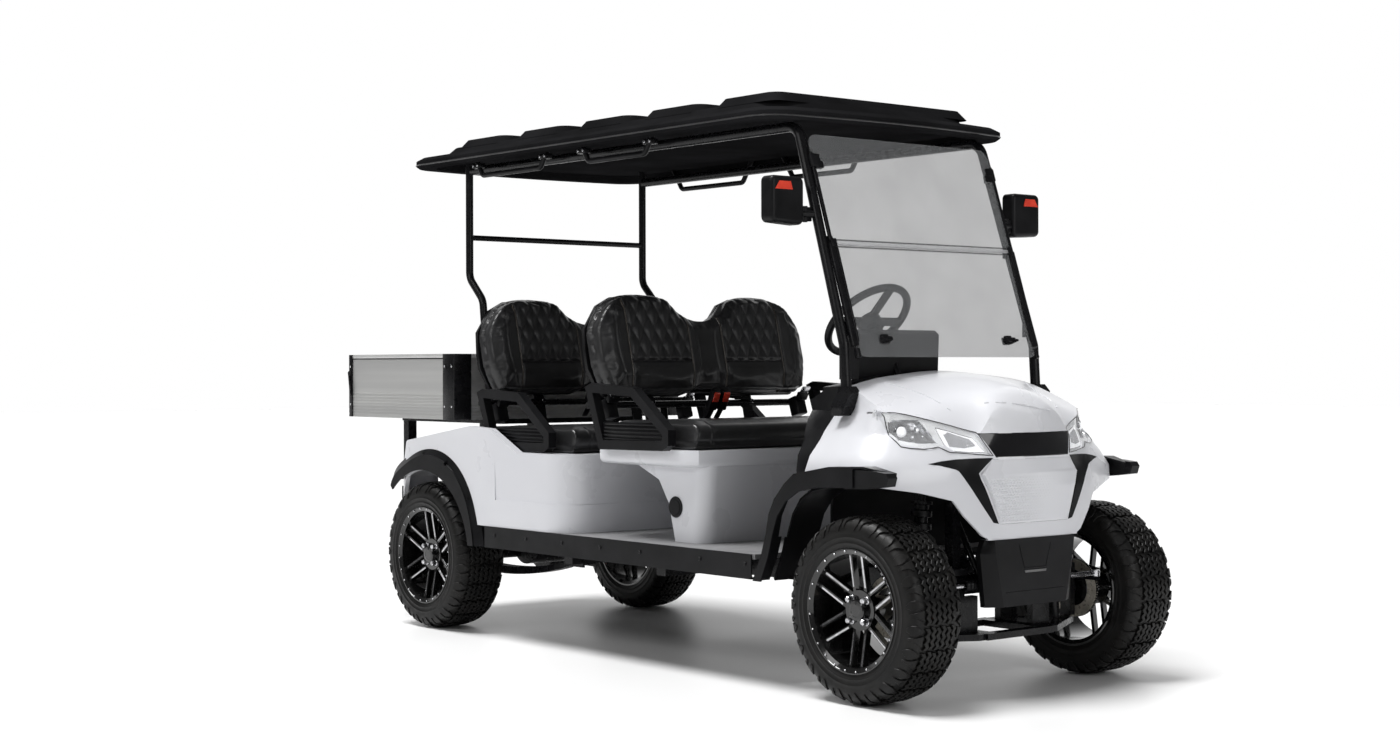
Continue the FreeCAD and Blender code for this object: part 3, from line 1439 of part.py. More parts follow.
# A level outline with round corners whose front and rear edges bow outwards
def round_plan(half, front, rear, corner, bow, height):
    half, front, rear, corner, bow, height = (float(size) for size in (half, front, rear, corner, bow, height))
    turn = corner * (1 - math.sqrt(0.5))
    stations = [(half, rear - corner), (half, front + corner), (half - turn, front + turn), (half - corner, front),
                (0, front - bow), (corner - half, front), (turn - half, front + turn), (-half, front + corner),
                (-half, rear - corner), (turn - half, rear - turn), (corner - half, rear), (0, rear + bow),
                (half - corner, rear), (half - turn, rear - turn)]
    places = [Vector(across, along, height) for across, along in stations]
    edges = [Part.LineSegment(places[0], places[1]).toShape(), Part.Arc(*places[1:4]).toShape(),
             Part.Arc(*places[3:6]).toShape(), Part.Arc(*places[5:8]).toShape(),
             Part.LineSegment(places[7], places[8]).toShape(), Part.Arc(*places[8:11]).toShape(),
             Part.Arc(*places[10:13]).toShape(), Part.Arc(places[12], places[13], places[0]).toShape()]
    return Part.Wire(edges)


def roof_plan(inset, height):
    return round_plan(d.roof_half_width - inset, d.roof_front + inset, d.roof_rear - inset, d.roof_corner, d.roof_bow, height)


def make_rib(first):
    half, last = d.roof_rib_half_width, first + d.roof_rib_length
    slope, corner = d.roof_rib_slope, 2 * d.roof_rib_slope
    foot = round_plan(half, first, last, corner, 0.2 * slope, d.roof_crown - d.roof_skin / 2)
    top = round_plan(half - slope, first + slope, last - slope, corner, 0.2 * slope, d.roof_rib_high)
    return Part.makeLoft([foot, top], True, True)


def make_roof():
    edge = d.roof_edge
    rim = Part.makeLoft([roof_plan(0.6 * edge, d.roof_low), roof_plan(0, d.roof_low + 0.6 * edge),
                         roof_plan(0, d.roof_rim_high - edge), roof_plan(1.4 * edge, d.roof_rim_high)], True, True)
    crown = Part.makeLoft([roof_plan(d.roof_crown_inset, d.roof_rim_high - d.roof_skin),
                           roof_plan(d.roof_crown_inset + d.roof_crown_slope, d.roof_crown)], True, True)
    start = d.roof_front + d.roof_crown_inset + d.roof_rib_gap / 2
    pitch = d.roof_rib_length + d.roof_rib_gap
    ribs = [make_rib(start + number * pitch) for number in range(round(float(d.roof_rib_count)))]
    recess = Part.makeLoft([roof_plan(d.roof_rim_width, d.roof_low - d.roof_skin),
                            roof_plan(d.roof_rim_width, d.roof_rim_high - d.roof_skin)], True, True)
    return rim.fuse([crown] + ribs).cut(recess)


finish(feature("roof", make_roof()), "roof")


# Seats

back_shares = [(0.0, 0.03), (0.12, 0.03), (0.2, 0.0), (0.88, 0.0), (0.935, 0.055), (1.0, 0.27), (1.0, 0.44), (0.98, 0.66), (0.84, 0.90),
               (0.72, 0.98), (0.575, 1.0), (0.40, 0.985), (0.29, 0.93), (0.2, 0.80), (0.1, 0.73), (0.0, 0.715)]


def back_outline(grow):
    height = d.back_high - d.back_low
    points = []
    for across, up in back_shares:
        stretch = grow * (2 * up - 1)
        points.append((across * (d.back_half_width + grow), up * height + stretch))
    return closed_half(points)


def make_cushion(label, shift, base):
    body = new_body(label)
    low = base + d.seat_gap
    high = low + d.cushion_thick
    front, rear = d.cushion_front + shift, d.cushion_rear + shift
    outline = [(front, low), (front - 0.02 * low, low + 0.5 * (high - low)), (front, high), (rear, high - 0.1 * (high - low)), (rear, low)]
    add_pad(body, "YZ", [outline], -d.cushion_half_width, d.cushion_half_width)
    round_off(body, lambda edge: edge.BoundBox.YMax < float(front) + 1 and edge.CenterOfMass.z > float(low) + 1
              and abs(edge.CenterOfMass.z - float(high)) < 1, d.cushion_round)
    return finish(body, label)


def make_back(label, shift, grow, start, stop):
    body = new_body(label)
    add_pad(body, "XZ", [back_outline(grow)], start, stop)
    body.Placement.Rotation = FreeCAD.Rotation(Vector(1, 0, 0), -float(d.back_tilt))
    return finish(body, label, 0, d.back_face_y + shift, d.back_low)


make_cushion("front_seat_cushion", 0, d.tray_high)
make_cushion("rear_seat_cushion", d.seat_pitch, d.rear_seat_top)
make_back("front_backrest", 0, 0, 0, d.back_thick)
make_back("rear_backrest", d.seat_pitch, 0, 0, d.back_thick)
make_back("front_back_shell", 0, 2, d.back_thick + d.seat_gap, d.back_thick + d.seat_gap + d.shell_thick)
make_back("rear_back_shell", d.seat_pitch, 2, d.back_thick + d.seat_gap, d.back_thick + d.seat_gap + d.shell_thick)


# Armrest loops: a flat bar bent into a closed loop, as (along, up) from the seat's front lower corner
armrest_outer_shares = [(0.07, 0.0), (0.84, -0.02), (1.02, 0.96), (0.94, 1.02), (0.42, 0.96), (0.0, 0.32), (0.0, 0.08)]


def loop_points(shift, drop):
    length = 0.92 * (d.cushion_rear - d.cushion_front)
    height = d.back_low - d.tray_high + 0.3 * d.cushion_thick
    start = d.cushion_front + shift + 0.16 * length
    base = d.tray_high - d.armrest_drop - drop
    return [(float(start + along * length), float(base + (up + 0.02) * height)) for along, up in armrest_outer_shares]


def armrest_loop(shift, drop):
    outer = loop_points(shift, drop)
    face = Part.Face(Part.makePolygon([Vector(float((d.tray_half_width + d.seat_gap)), a, b) for a, b in outer + outer[:1]]))
    inner = face.makeOffset2D(-float(d.armrest_bar), 2)
    ring = face.cut(inner)
    return ring.extrude(vector(d.armrest_thick, 0, 0))


loops = [armrest_loop(0, 0), armrest_loop(d.seat_pitch, d.tray_high - d.rear_seat_top - d.armrest_drop - d.seat_gap)]
loops += [shape.mirror(Vector(0, 0, 0), Vector(1, 0, 0)) for shape in loops]
finish(feature("armrests", Part.makeCompound(loops)), "armrest_loops")


# Seat frames: two posts behind each backrest joined by a bar

def seat_frame(shift, base_top):
    lean = math.radians(float(d.back_tilt))
    depth = float(d.back_thick + d.shell_thick + 2 * d.seat_gap)
    face_y = float(d.back_face_y + shift)
    low_y = face_y + depth / math.cos(lean)
    shapes = []
    top = float(d.back_low) + 0.35 * float(d.back_high - d.back_low)
    thick, wide = float(d.seat_post_thick), float(d.seat_post_width)
    slope = math.tan(lean)
    low = float(base_top)
    behind = low_y + float(d.seat_gap) - float(d.back_low) * slope
    foot_y, top_y = behind + low * slope, behind + top * slope
    points = [(foot_y, low), (top_y, top), (top_y + thick, top), (foot_y + thick, low)]
    for side in (-1, 1):
        x = side * float(d.seat_post_plane)
        shapes.append(flat_prism(points, "YZ", x - wide / 2, x + wide / 2))
    bar_z = float(d.back_low) - 4 * float(d.seat_bar_radius)
    bar_y = behind + bar_z * slope + thick / 2
    reach = float(d.tray_half_width)
    shapes.append(Part.makeCylinder(float(d.seat_bar_radius), 2 * reach, Vector(-reach, bar_y, bar_z), Vector(1, 0, 0)))
    return shapes[0].fuse(shapes[1:])


tray_top = d.tray_high
frames = [seat_frame(0, tray_top + d.seat_gap), seat_frame(d.seat_pitch, d.rear_seat_top + d.seat_gap)]
finish(feature("seat_frames", Part.makeCompound(frames)), "seat_frames")


# Front seat base: a tapering white box under an overhanging tray

def make_base():
    body = new_body("seat_base")
    top = d.tray_low + d.rear_wall
    outline = [(d.base_front, deck_top + d.seat_gap), (d.base_toe, deck_top + d.seat_gap), (d.base_toe + 0.17 * d.base_toe * 0.2, 0.9 * d.tray_low * 0.9),
               (1.09 * d.base_toe, 0.93 * d.tray_low), (1.23 * d.base_toe, top), (d.base_front - 0.02 * d.base_front, top)]
    add_pad(body, "YZ", [outline], -d.base_half_width, d.base_half_width)
    round_off(body, lambda edge: abs(edge.CenterOfMass.y - float(d.base_front)) < 20 and abs(abs(edge.CenterOfMass.x) - float(d.base_half_width)) < 1
              and edge.BoundBox.ZLength > 100, d.base_corner)
    tray = new_body("tray")
    corner = d.tray_corner
    half = d.tray_half_width
    plan = closed_half([(0, d.tray_front), (half - corner, d.tray_front), (half - 0.3 * corner, d.tray_front + 0.3 * corner),
                        (half, d.tray_front + corner), (half, d.tray_rear - 0.5 * corner), (half - 0.5 * corner, d.tray_rear), (0, d.tray_rear)])
    add_pad(tray, "XY", [plan], d.tray_low, d.tray_high)
    low = float(d.tray_low)
    round_off(tray, lambda edge: abs(edge.BoundBox.ZMax - low) < 0.01, 0.4 * (d.tray_high - d.tray_low))
    return fuse("seat_base", [body, tray])


finish(make_base(), "front_seat_base")


# Rear body: a hollow white moulding over the rear axle

# The body's outline from the side; the seat well is sunk between its two raised fenders
rear_low = deck_top + d.seat_gap


def rear_outline(inset):
    front, tail, low = d.rear_front + inset, d.rear_tail - inset, rear_low
    seat_top, fender = d.rear_seat_top - inset, d.rear_fender_top - inset
    notch = d.cushion_front + d.seat_pitch + 0.45 * (d.cushion_rear - d.cushion_front) + inset
    run = d.rear_tail - notch
    if inset:
        low = low - d.rear_corner
    return [(front, low), (front, seat_top), (notch, seat_top), (notch + 0.2 * run, seat_top + 0.12 * d.rear_seat_top),
            (notch + 0.35 * run, seat_top + 0.13 * d.rear_seat_top), (d.wheelbase + 0.15 * run, fender - 0.035 * d.rear_fender_top),
            (tail - 0.05 * run, fender - 0.14 * d.rear_fender_top), (tail, fender - 0.22 * d.rear_fender_top),
            (tail, rear_low + 0.3 * (d.rear_fender_top - rear_low)), (tail - 0.03 * run, low)]


# The plan's front corners are rounded by three flats
def rear_plan(inset, height):
    half, corner = d.rear_half_width - inset, d.rear_corner
    front, tail = d.rear_front + inset, d.rear_tail - inset
    plan = closed_half([(0, front), (half - corner, front), (half - 0.6 * corner, front + 0.09 * corner),
                        (half - 0.28 * corner, front + 0.28 * corner), (half - 0.09 * corner, front + 0.6 * corner),
                        (half, front + corner), (half, tail - corner), (half - 0.5 * corner, tail), (0, tail)])
    return [(across, along, height) for across, along in plan]


def rear_block(inset):
    half = d.rear_half_width - inset
    side = flat_prism(rear_outline(inset), "YZ", -half, half)
    plan = [(x, y) for x, y, _ in rear_plan(inset, 0)]
    block = side.common(flat_prism(plan, "XY", 0, 4 * d.rear_half_width))
    well_half = float(d.rear_well_half_width + inset)
    well_start = float(d.rear_front - d.rear_corner)
    well = Part.makeBox(2 * well_half, float(d.rear_well_end + inset) - well_start, float(d.rear_seat_top),
                        vector(-well_half, well_start, d.rear_seat_top - inset))
    return block.cut(well)


# Above the crease the moulding falls back to a shallow panel that fades out upwards
def rear_mass():
    block = rear_block(0)
    depth, corner = d.crease_depth, d.rear_corner
    low, high = d.crease_low, d.crease_high
    wide = float(2 * d.rear_half_width)
    zone = Part.makeBox(2 * wide, float(d.crease_rear - d.rear_front + corner), float(high - low),
                        vector(-wide, d.rear_front - corner, low))
    sections = [rear_plan(depth, low), rear_plan(0, high)]
    wires = [Part.makePolygon([vector(x, y, z) for x, y, z in points + points[:1]]) for points in sections]
    panel = Part.makeLoft(wires, True, True)
    return block.cut(zone).fuse(block.common(zone).common(panel)).removeSplitter()


def make_rear_body():
    shell = rear_mass().cut(rear_block(d.rear_wall + d.crease_depth))
    bay = float(d.rear_bay_half_width)
    for side in (-1, 1):
        arch = Part.makeCylinder(float(d.arch_radius), 2 * bay, vector(side * bay, d.wheelbase, d.tyre_radius), Vector(side, 0, 0))
        shell = shell.cut(arch)
    # the bay behind the seat, where the cargo support's legs stand
    start = float(d.hoop_foot_y + d.hoop_radius)
    length = float(d.rear_tail + d.rear_corner) - start
    return shell.cut(Part.makeBox(2 * bay, length, 4 * bay, vector(-bay, start, 0)))


finish(feature("rear_body", make_rear_body()), "rear_body")


# Rear hoop

def make_hoop():
    recess = d.roof_rim_high - d.roof_skin - d.seat_gap
    side = [vector(d.hoop_plane, d.hoop_foot_y, d.hoop_foot_z), vector(d.hoop_plane, d.hoop_shoulder_y, d.hoop_shoulder_z),
            vector(d.hoop_plane, d.hoop_y, d.hoop_kink_z), vector(d.hoop_plane, d.hoop_y, recess)]
    left = tube(side, d.hoop_radius, d.bend_radius)
    seat = rear_mass()
    seat.translate(vector(0, 0, d.seat_gap))
    left = left.cut(seat)
    right = left.mirror(Vector(0, 0, 0), Vector(1, 0, 0))
    bar = Part.makeCylinder(float(d.hoop_bar_radius), 2 * float(d.hoop_plane), vector(-d.hoop_plane, d.hoop_y, d.hoop_bar_z),
                            Vector(1, 0, 0))
    return left.fuse([right, bar])


finish(feature("hoop", make_hoop()), "rear_hoop")


# Rear fender flares: a band with a sloped shoulder and pockets, from the sill over the wheel to its tip.
# The outer edge as (along, up) shares of the flare's radius, from the axle
rear_flare_shares = [(-0.925, 0.134), (-0.885, 0.34), (-0.77, 0.62), (-0.53, 0.87), (-0.205, 0.99), (0.13, 0.965), (0.40, 0.85),
                     (0.575, 0.72), (0.60, 0.665)]
flare_pocket_turn_shares = (0.2, 0.36, 0.5, 0.64)


def rear_flare_wire(plane, drop, inner):
    radius = float(d.rear_flare_radius) - float(drop)
    y, z = float(d.wheelbase), float(d.tyre_radius)
    outer = [Vector(float(plane), y + along * radius, z + up * radius) for along, up in rear_flare_shares]
    start, end = math.atan2(0.134, -0.925), math.atan2(0.665, 0.60)
    arc = [Vector(float(plane), y + float(inner) * math.cos(angle), z + float(inner) * math.sin(angle))
           for angle in (end, (start + end) / 2, start)]
    return Part.Wire([smooth_through(outer), Part.LineSegment(outer[-1], arc[0]).toShape(), Part.Arc(*arc).toShape(),
                      Part.LineSegment(arc[-1], outer[0]).toShape()])


def rear_flare_mass(wall, inner):
    face = d.rear_flare_plane - wall
    shoulder = d.rear_flare_shoulder - wall / 2
    return Part.makeLoft([rear_flare_wire(d.rear_flare_inner - wall, wall, inner), rear_flare_wire(shoulder, wall, inner),
                          rear_flare_wire(face - d.flare_wall, d.rear_flare_band + wall, inner),
                          rear_flare_wire(face, d.rear_flare_band + 2 * wall, inner)], True, True)


def make_rear_flare():
    wall = d.flare_wall
    shell = rear_flare_mass(0, d.arch_radius).cut(rear_flare_mass(wall, d.arch_radius - 2 * wall))
    for share in flare_pocket_turn_shares:
        angle = math.pi * share
        reach = float(d.rear_flare_radius) - 0.75 * float(d.rear_flare_band)
        start = vector(d.rear_flare_plane - wall - 2 * d.flare_pocket_depth, d.wheelbase + reach * -math.cos(angle),
                       d.tyre_radius + reach * math.sin(angle))
        pocket = Part.makeCylinder(float(d.flare_pocket_radius), float(4 * wall), start, Vector(1, 0, 0))
        shell = shell.cut(pocket)
    far = float(4 * d.rear_flare_radius)
    below = Part.makeBox(far, far, far, vector(0, d.wheelbase - far / 2, d.skirt_low - far))
    return shell.cut(below).cut(rear_mass())


rear_flare_solids = make_rear_flare()
finish(both_sides("rear_flare", feature("rear_flare", max(rear_flare_solids.Solids, key=lambda solid: solid.Volume))),
       "rear_flares")

lamp_low = rear_low + 0.35 * (d.rear_fender_top - rear_low)
tail_lamp = box_body("tail_lamp", (d.rear_bay_half_width + d.panel_gap, d.rear_tail + d.seat_gap, lamp_low),
                     (d.rear_bay_half_width + d.panel_gap + d.lamp_width, d.rear_tail + d.lamp_depth, lamp_low + d.lamp_height))
finish(both_sides("tail_lamp", tail_lamp), "tail_lamps")


# Cargo box with corner posts, tailgate and its support

def make_cargo_box():
    body = new_body("cargo_box")
    half = d.box_half_width
    wall = d.box_wall
    plan = [(-half, d.box_front), (half, d.box_front), (half, d.box_rear), (-half, d.box_rear)]
    add_pad(body, "XY", [plan], d.box_low, d.box_high)
    inner = [(wall - half, d.box_front + wall), (half - wall, d.box_front + wall), (half - wall, d.box_rear + wall),
             (wall - half, d.box_rear + wall)]
    add_pad(body, "XY", [inner], d.box_low + d.box_floor, d.box_high + d.box_floor, "Pocket")
    return finish(body, "cargo_box")


def make_corner_posts():
    half = d.box_half_width + d.seat_gap
    thick = d.post_thick
    wide = d.post_width
    items = []
    for start in (d.box_front, d.box_rear - d.post_width):
        items.append(box_body("post", (half, start, d.box_low), (half + thick, start + wide, d.box_high)))
    front_leg = box_body("post_leg", (half - wide + thick, d.box_front - thick - d.seat_gap, d.box_low),
                         (half + thick, d.box_front - d.seat_gap, d.box_high))
    tie = box_body("post_tie", (half, d.box_front - thick - d.seat_gap, d.box_low), (half + thick, d.box_front, d.box_high))
    front = fuse("front_post", [items[0], front_leg, tie])
    group = doc.addObject("Part::Compound", "post_group")
    group.Links = [front, mirrored(front), items[1], mirrored(items[1])]
    return finish(group, "cargo_corner_posts")


# The tailgate turns about the middle of its rounded lower edge
def make_tailgate():
    half = d.box_half_width - d.box_wall - d.gate_gap
    pivot_z = d.box_low + d.box_floor + d.gate_gap + d.box_wall / 2
    plate = box_body("gate", (-half, d.box_rear - d.box_wall, pivot_z), (half, d.box_rear, d.box_high))
    edge = rod("gate_edge", d.box_wall / 2, 2 * half, (-half, d.box_rear - d.box_wall / 2, pivot_z), Vector(1, 0, 0))
    reach = d.box_half_width - d.box_wall - d.seat_gap
    pin = rod("gate_pin", d.gate_pin_radius, 2 * reach, (-reach, d.box_rear - d.box_wall / 2, pivot_z), Vector(1, 0, 0))
    return finish(fuse("tailgate", [plate, edge, pin]), "tailgate")


def make_support():
    low, high = d.box_low - d.support_height, d.box_low - d.seat_gap
    pieces = []
    for side in (-1, 1):
        near, far = side * d.support_plane, side * (d.support_plane + d.support_bar)
        pieces.append(box_body("support_rail", (min_size(near, far), d.box_front, low), (max_size(near, far), d.rail_rear, high)))
    for start in (d.box_front, d.wheelbase + d.support_bar, d.rail_rear - d.support_bar):
        reach = d.support_plane + d.support_bar
        pieces.append(box_body("support_bar", (-reach, start, low), (reach, start + d.support_bar, high)))
    return finish(fuse("support", pieces), "cargo_support")


make_cargo_box()
make_corner_posts()
make_tailgate()
make_support()


# Rear axle with its drive motor, and the leaf springs

def make_rear_axle():
    y, z = d.wheelbase, d.tyre_radius
    tube_reach = d.axle_tube_half
    pieces = [rod("axle_tube", d.axle_radius, 2 * tube_reach, (-tube_reach, y, z), Vector(1, 0, 0)),
              rod("axle_pins", d.axle_pin_radius, 2 * (d.wheel_plane + d.pin_reach), (-d.wheel_plane - d.pin_reach, y, z), Vector(1, 0, 0))]
    backing_in = d.wheel_plane - d.drum_face - d.running_gap - d.backing_thick
    for start in (backing_in, -backing_in - d.backing_thick):
        pieces.append(rod("backing", d.backing_radius, d.backing_thick, (start, y, z), Vector(1, 0, 0)))
    pieces.append(rod("differential", d.diff_radius, 1.3 * d.diff_radius, (-0.4 * d.diff_radius, y, z), Vector(1, 0, 0)))
    pieces.append(rod("motor", d.motor_radius, d.motor_length, (d.diff_radius * 0.8 - d.motor_length, y - d.motor_offset, z + 0.4 * d.motor_offset),
                      Vector(1, 0, 0)))
    return finish(fuse("rear_axle", pieces), "rear_axle")


def make_springs():
    thick = float(d.spring_thick)
    front = Vector(0, float(d.spring_front_y), float(d.spring_eye_z))
    middle = Vector(0, float(d.wheelbase), float(d.tyre_radius) - float(d.axle_radius) - thick)
    rear = Vector(0, float(d.spring_rear_y), float(d.spring_rear_z))
    lift = Vector(0, 0, thick)
    lower = Part.Arc(front - lift / 2, middle - lift / 2 - Vector(0, 0, thick / 2), rear - lift / 2).toShape()
    upper = Part.Arc(rear + lift / 2, middle + lift - Vector(0, 0, 1), front + lift / 2).toShape()
    ends = [Part.LineSegment(rear - lift / 2, rear + lift / 2).toShape(), Part.LineSegment(front + lift / 2, front - lift / 2).toShape()]
    face = Part.Face(Part.Wire([lower, ends[0], upper, ends[1]]))
    leaf = face.extrude(vector(d.spring_width, 0, 0))
    leaf.translate(vector(d.spring_inner, 0, 0))
    for eye in (front, rear):
        leaf = leaf.fuse(Part.makeCylinder(float(d.spring_eye_radius) * 0.8, float(d.spring_width), eye + vector(d.spring_inner, 0, 0), Vector(1, 0, 0)))
    return leaf


make_rear_axle()
springs = make_springs()
finish(feature("springs", Part.makeCompound([springs, springs.mirror(Vector(0, 0, 0), Vector(1, 0, 0))])), "leaf_springs")


# Checks and export

doc.recompute()
for item in doc.Objects:
    if "Invalid" in item.State or "Error" in item.State:
        raise RuntimeError(f"{item.Label} failed: {item.State}")
for item in subparts:
    if item.Shape.isNull() or not item.Shape.isValid() or not item.Shape.Solids:
        raise RuntimeError(f"{item.Label} is not a valid solid")

os.makedirs("parts", exist_ok=True)
for item in subparts:
    item.Shape.exportStep(f"parts/{item.Label}.step")
    print(item.Label, len(item.Shape.Solids), round(item.Shape.Volume / 1000))
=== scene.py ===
import math

import bmesh
import bpy
import numpy as np
from mathutils import Matrix, Vector
from mathutils.bvhtree import BVHTree
from mathutils.geometry import delaunay_2d_cdt


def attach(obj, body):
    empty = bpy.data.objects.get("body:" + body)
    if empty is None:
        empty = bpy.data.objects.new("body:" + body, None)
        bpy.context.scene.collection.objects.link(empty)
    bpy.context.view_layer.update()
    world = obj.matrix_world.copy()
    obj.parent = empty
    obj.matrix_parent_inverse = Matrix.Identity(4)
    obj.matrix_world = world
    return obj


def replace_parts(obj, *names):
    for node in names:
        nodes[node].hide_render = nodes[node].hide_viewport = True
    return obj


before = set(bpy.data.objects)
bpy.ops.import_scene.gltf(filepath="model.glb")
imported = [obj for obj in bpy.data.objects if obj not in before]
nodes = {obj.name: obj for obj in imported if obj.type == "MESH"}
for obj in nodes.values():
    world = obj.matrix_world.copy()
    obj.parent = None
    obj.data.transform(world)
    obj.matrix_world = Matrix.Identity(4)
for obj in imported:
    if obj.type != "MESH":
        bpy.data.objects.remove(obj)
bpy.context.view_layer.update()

mm = 0.001
print("frame loaded:", len(nodes), "nodes")

# The cart's main sizes, in millimetres
cartSpec = {"wheelbase": 2459, "halfTrack": 505, "axleHeight": 290, "seatPitch": 710, "seatDrop": 34}
axleToMiddle = -1.4155  # where the front axle lies along the cart, in metres


# Places are given in millimetres from the front axle, as on a workshop drawing
def onCart(x, y, z):
    return Vector((x * mm, y * mm + axleToMiddle, z * mm))


def linked(name, data):
    thing = bpy.data.objects.new(name, data)
    bpy.context.scene.collection.objects.link(thing)
    return thing


def finalMesh(thing):
    return bpy.data.meshes.new_from_object(thing.evaluated_get(bpy.context.evaluated_depsgraph_get()))


# Node trees

def addNode(tree, kind, settings=None, inputs=None):
    node = tree.nodes.new(kind)
    for key, value in (settings or {}).items():
        setattr(node, key, value)
    for key, value in (inputs or {}).items():
        if hasattr(value, "links"):
            tree.links.new(value, node.inputs[key])
        else:
            node.inputs[key].default_value = value
    return node


def startMaterial(name):
    material = bpy.data.materials.new(name)
    material.use_nodes = True
    tree = material.node_tree
    tree.nodes.clear()
    output = addNode(tree, "ShaderNodeOutputMaterial")
    shader = addNode(tree, "ShaderNodeBsdfPrincipled")
    tree.links.new(shader.outputs["BSDF"], output.inputs["Surface"])
    return material, tree, shader


def objectPlace(tree, stretch=(1, 1, 1)):
    coordinates = addNode(tree, "ShaderNodeTexCoord")
    return addNode(tree, "ShaderNodeMapping", None, {
        "Vector": coordinates.outputs["Object"], "Scale": stretch}).outputs["Vector"]


def noise(tree, place, scale, detail=3):
    return addNode(tree, "ShaderNodeTexNoise", None, {
        "Vector": place, "Scale": scale, "Detail": detail}).outputs["Fac"]


def spread(tree, value, low, high, toLow, toHigh):
    return addNode(tree, "ShaderNodeMapRange", {"clamp": True}, {
        "Value": value, "From Min": low, "From Max": high,
        "To Min": toLow, "To Max": toHigh}).outputs["Result"]


def blendColours(tree, factor, first, second):
    node = addNode(tree, "ShaderNodeMix", {"data_type": "RGBA"})
    colourInputs = [socket for socket in node.inputs if socket.type == "RGBA"]
    for socket, value in zip([node.inputs[0], *colourInputs], (factor, first, second)):
        if hasattr(value, "links"):
            tree.links.new(value, socket)
        else:
            socket.default_value = value if isinstance(value, float) else (*value, 1)
    return next(socket for socket in node.outputs if socket.type == "RGBA")


def startTree(name, inputs=()):
    tree = bpy.data.node_groups.new(name, "GeometryNodeTree")
    for label, kind in (("Geometry", "NodeSocketGeometry"), *inputs):
        tree.interface.new_socket(label, in_out="INPUT", socket_type=kind)
    tree.interface.new_socket("Geometry", in_out="OUTPUT", socket_type="NodeSocketGeometry")
    return tree, addNode(tree, "NodeGroupInput"), addNode(tree, "NodeGroupOutput")


# Finishes

surfaceSpec = {"wearToTone": 3.7, "grainStrength": 0.6, "coatGloss": 0.04,
               "hazeScale": 5, "hazeSpread": 0.02, "tintScale": 3, "tintShade": 0.9, "paneCoatGloss": 0.02}


# A surface with two tones, uneven gloss and a fine grain
def makeFinish(name, tones, gloss, toneSize, grainSize, grainDepth, metal=0.0, coat=0.0, stretch=(1, 1, 1),
               shine=0.5, glow=0.0):
    spec = surfaceSpec
    material, tree, shader = startMaterial(name)
    place = objectPlace(tree, stretch)
    tone = spread(tree, noise(tree, place, toneSize, 4), 0.35, 0.65, 0, 1)
    tree.links.new(blendColours(tree, tone, *tones), shader.inputs["Base Color"])
    wear = spread(tree, noise(tree, place, toneSize * spec["wearToTone"], 5), 0.3, 0.7, *gloss)
    tree.links.new(wear, shader.inputs["Roughness"])
    shader.inputs["Metallic"].default_value = metal
    shader.inputs["Coat Weight"].default_value = coat
    shader.inputs["Coat Roughness"].default_value = spec["coatGloss"]
    shader.inputs["Specular IOR Level"].default_value = shine
    shader.inputs["Emission Color"].default_value = (1, 1, 1, 1)
    shader.inputs["Emission Strength"].default_value = glow
    if grainDepth:
        bump = addNode(tree, "ShaderNodeBump", None, {
            "Height": noise(tree, place, grainSize, 2), "Distance": grainDepth * mm,
            "Strength": spec["grainStrength"]})
        tree.links.new(bump.outputs["Normal"], shader.inputs["Normal"])
    return material


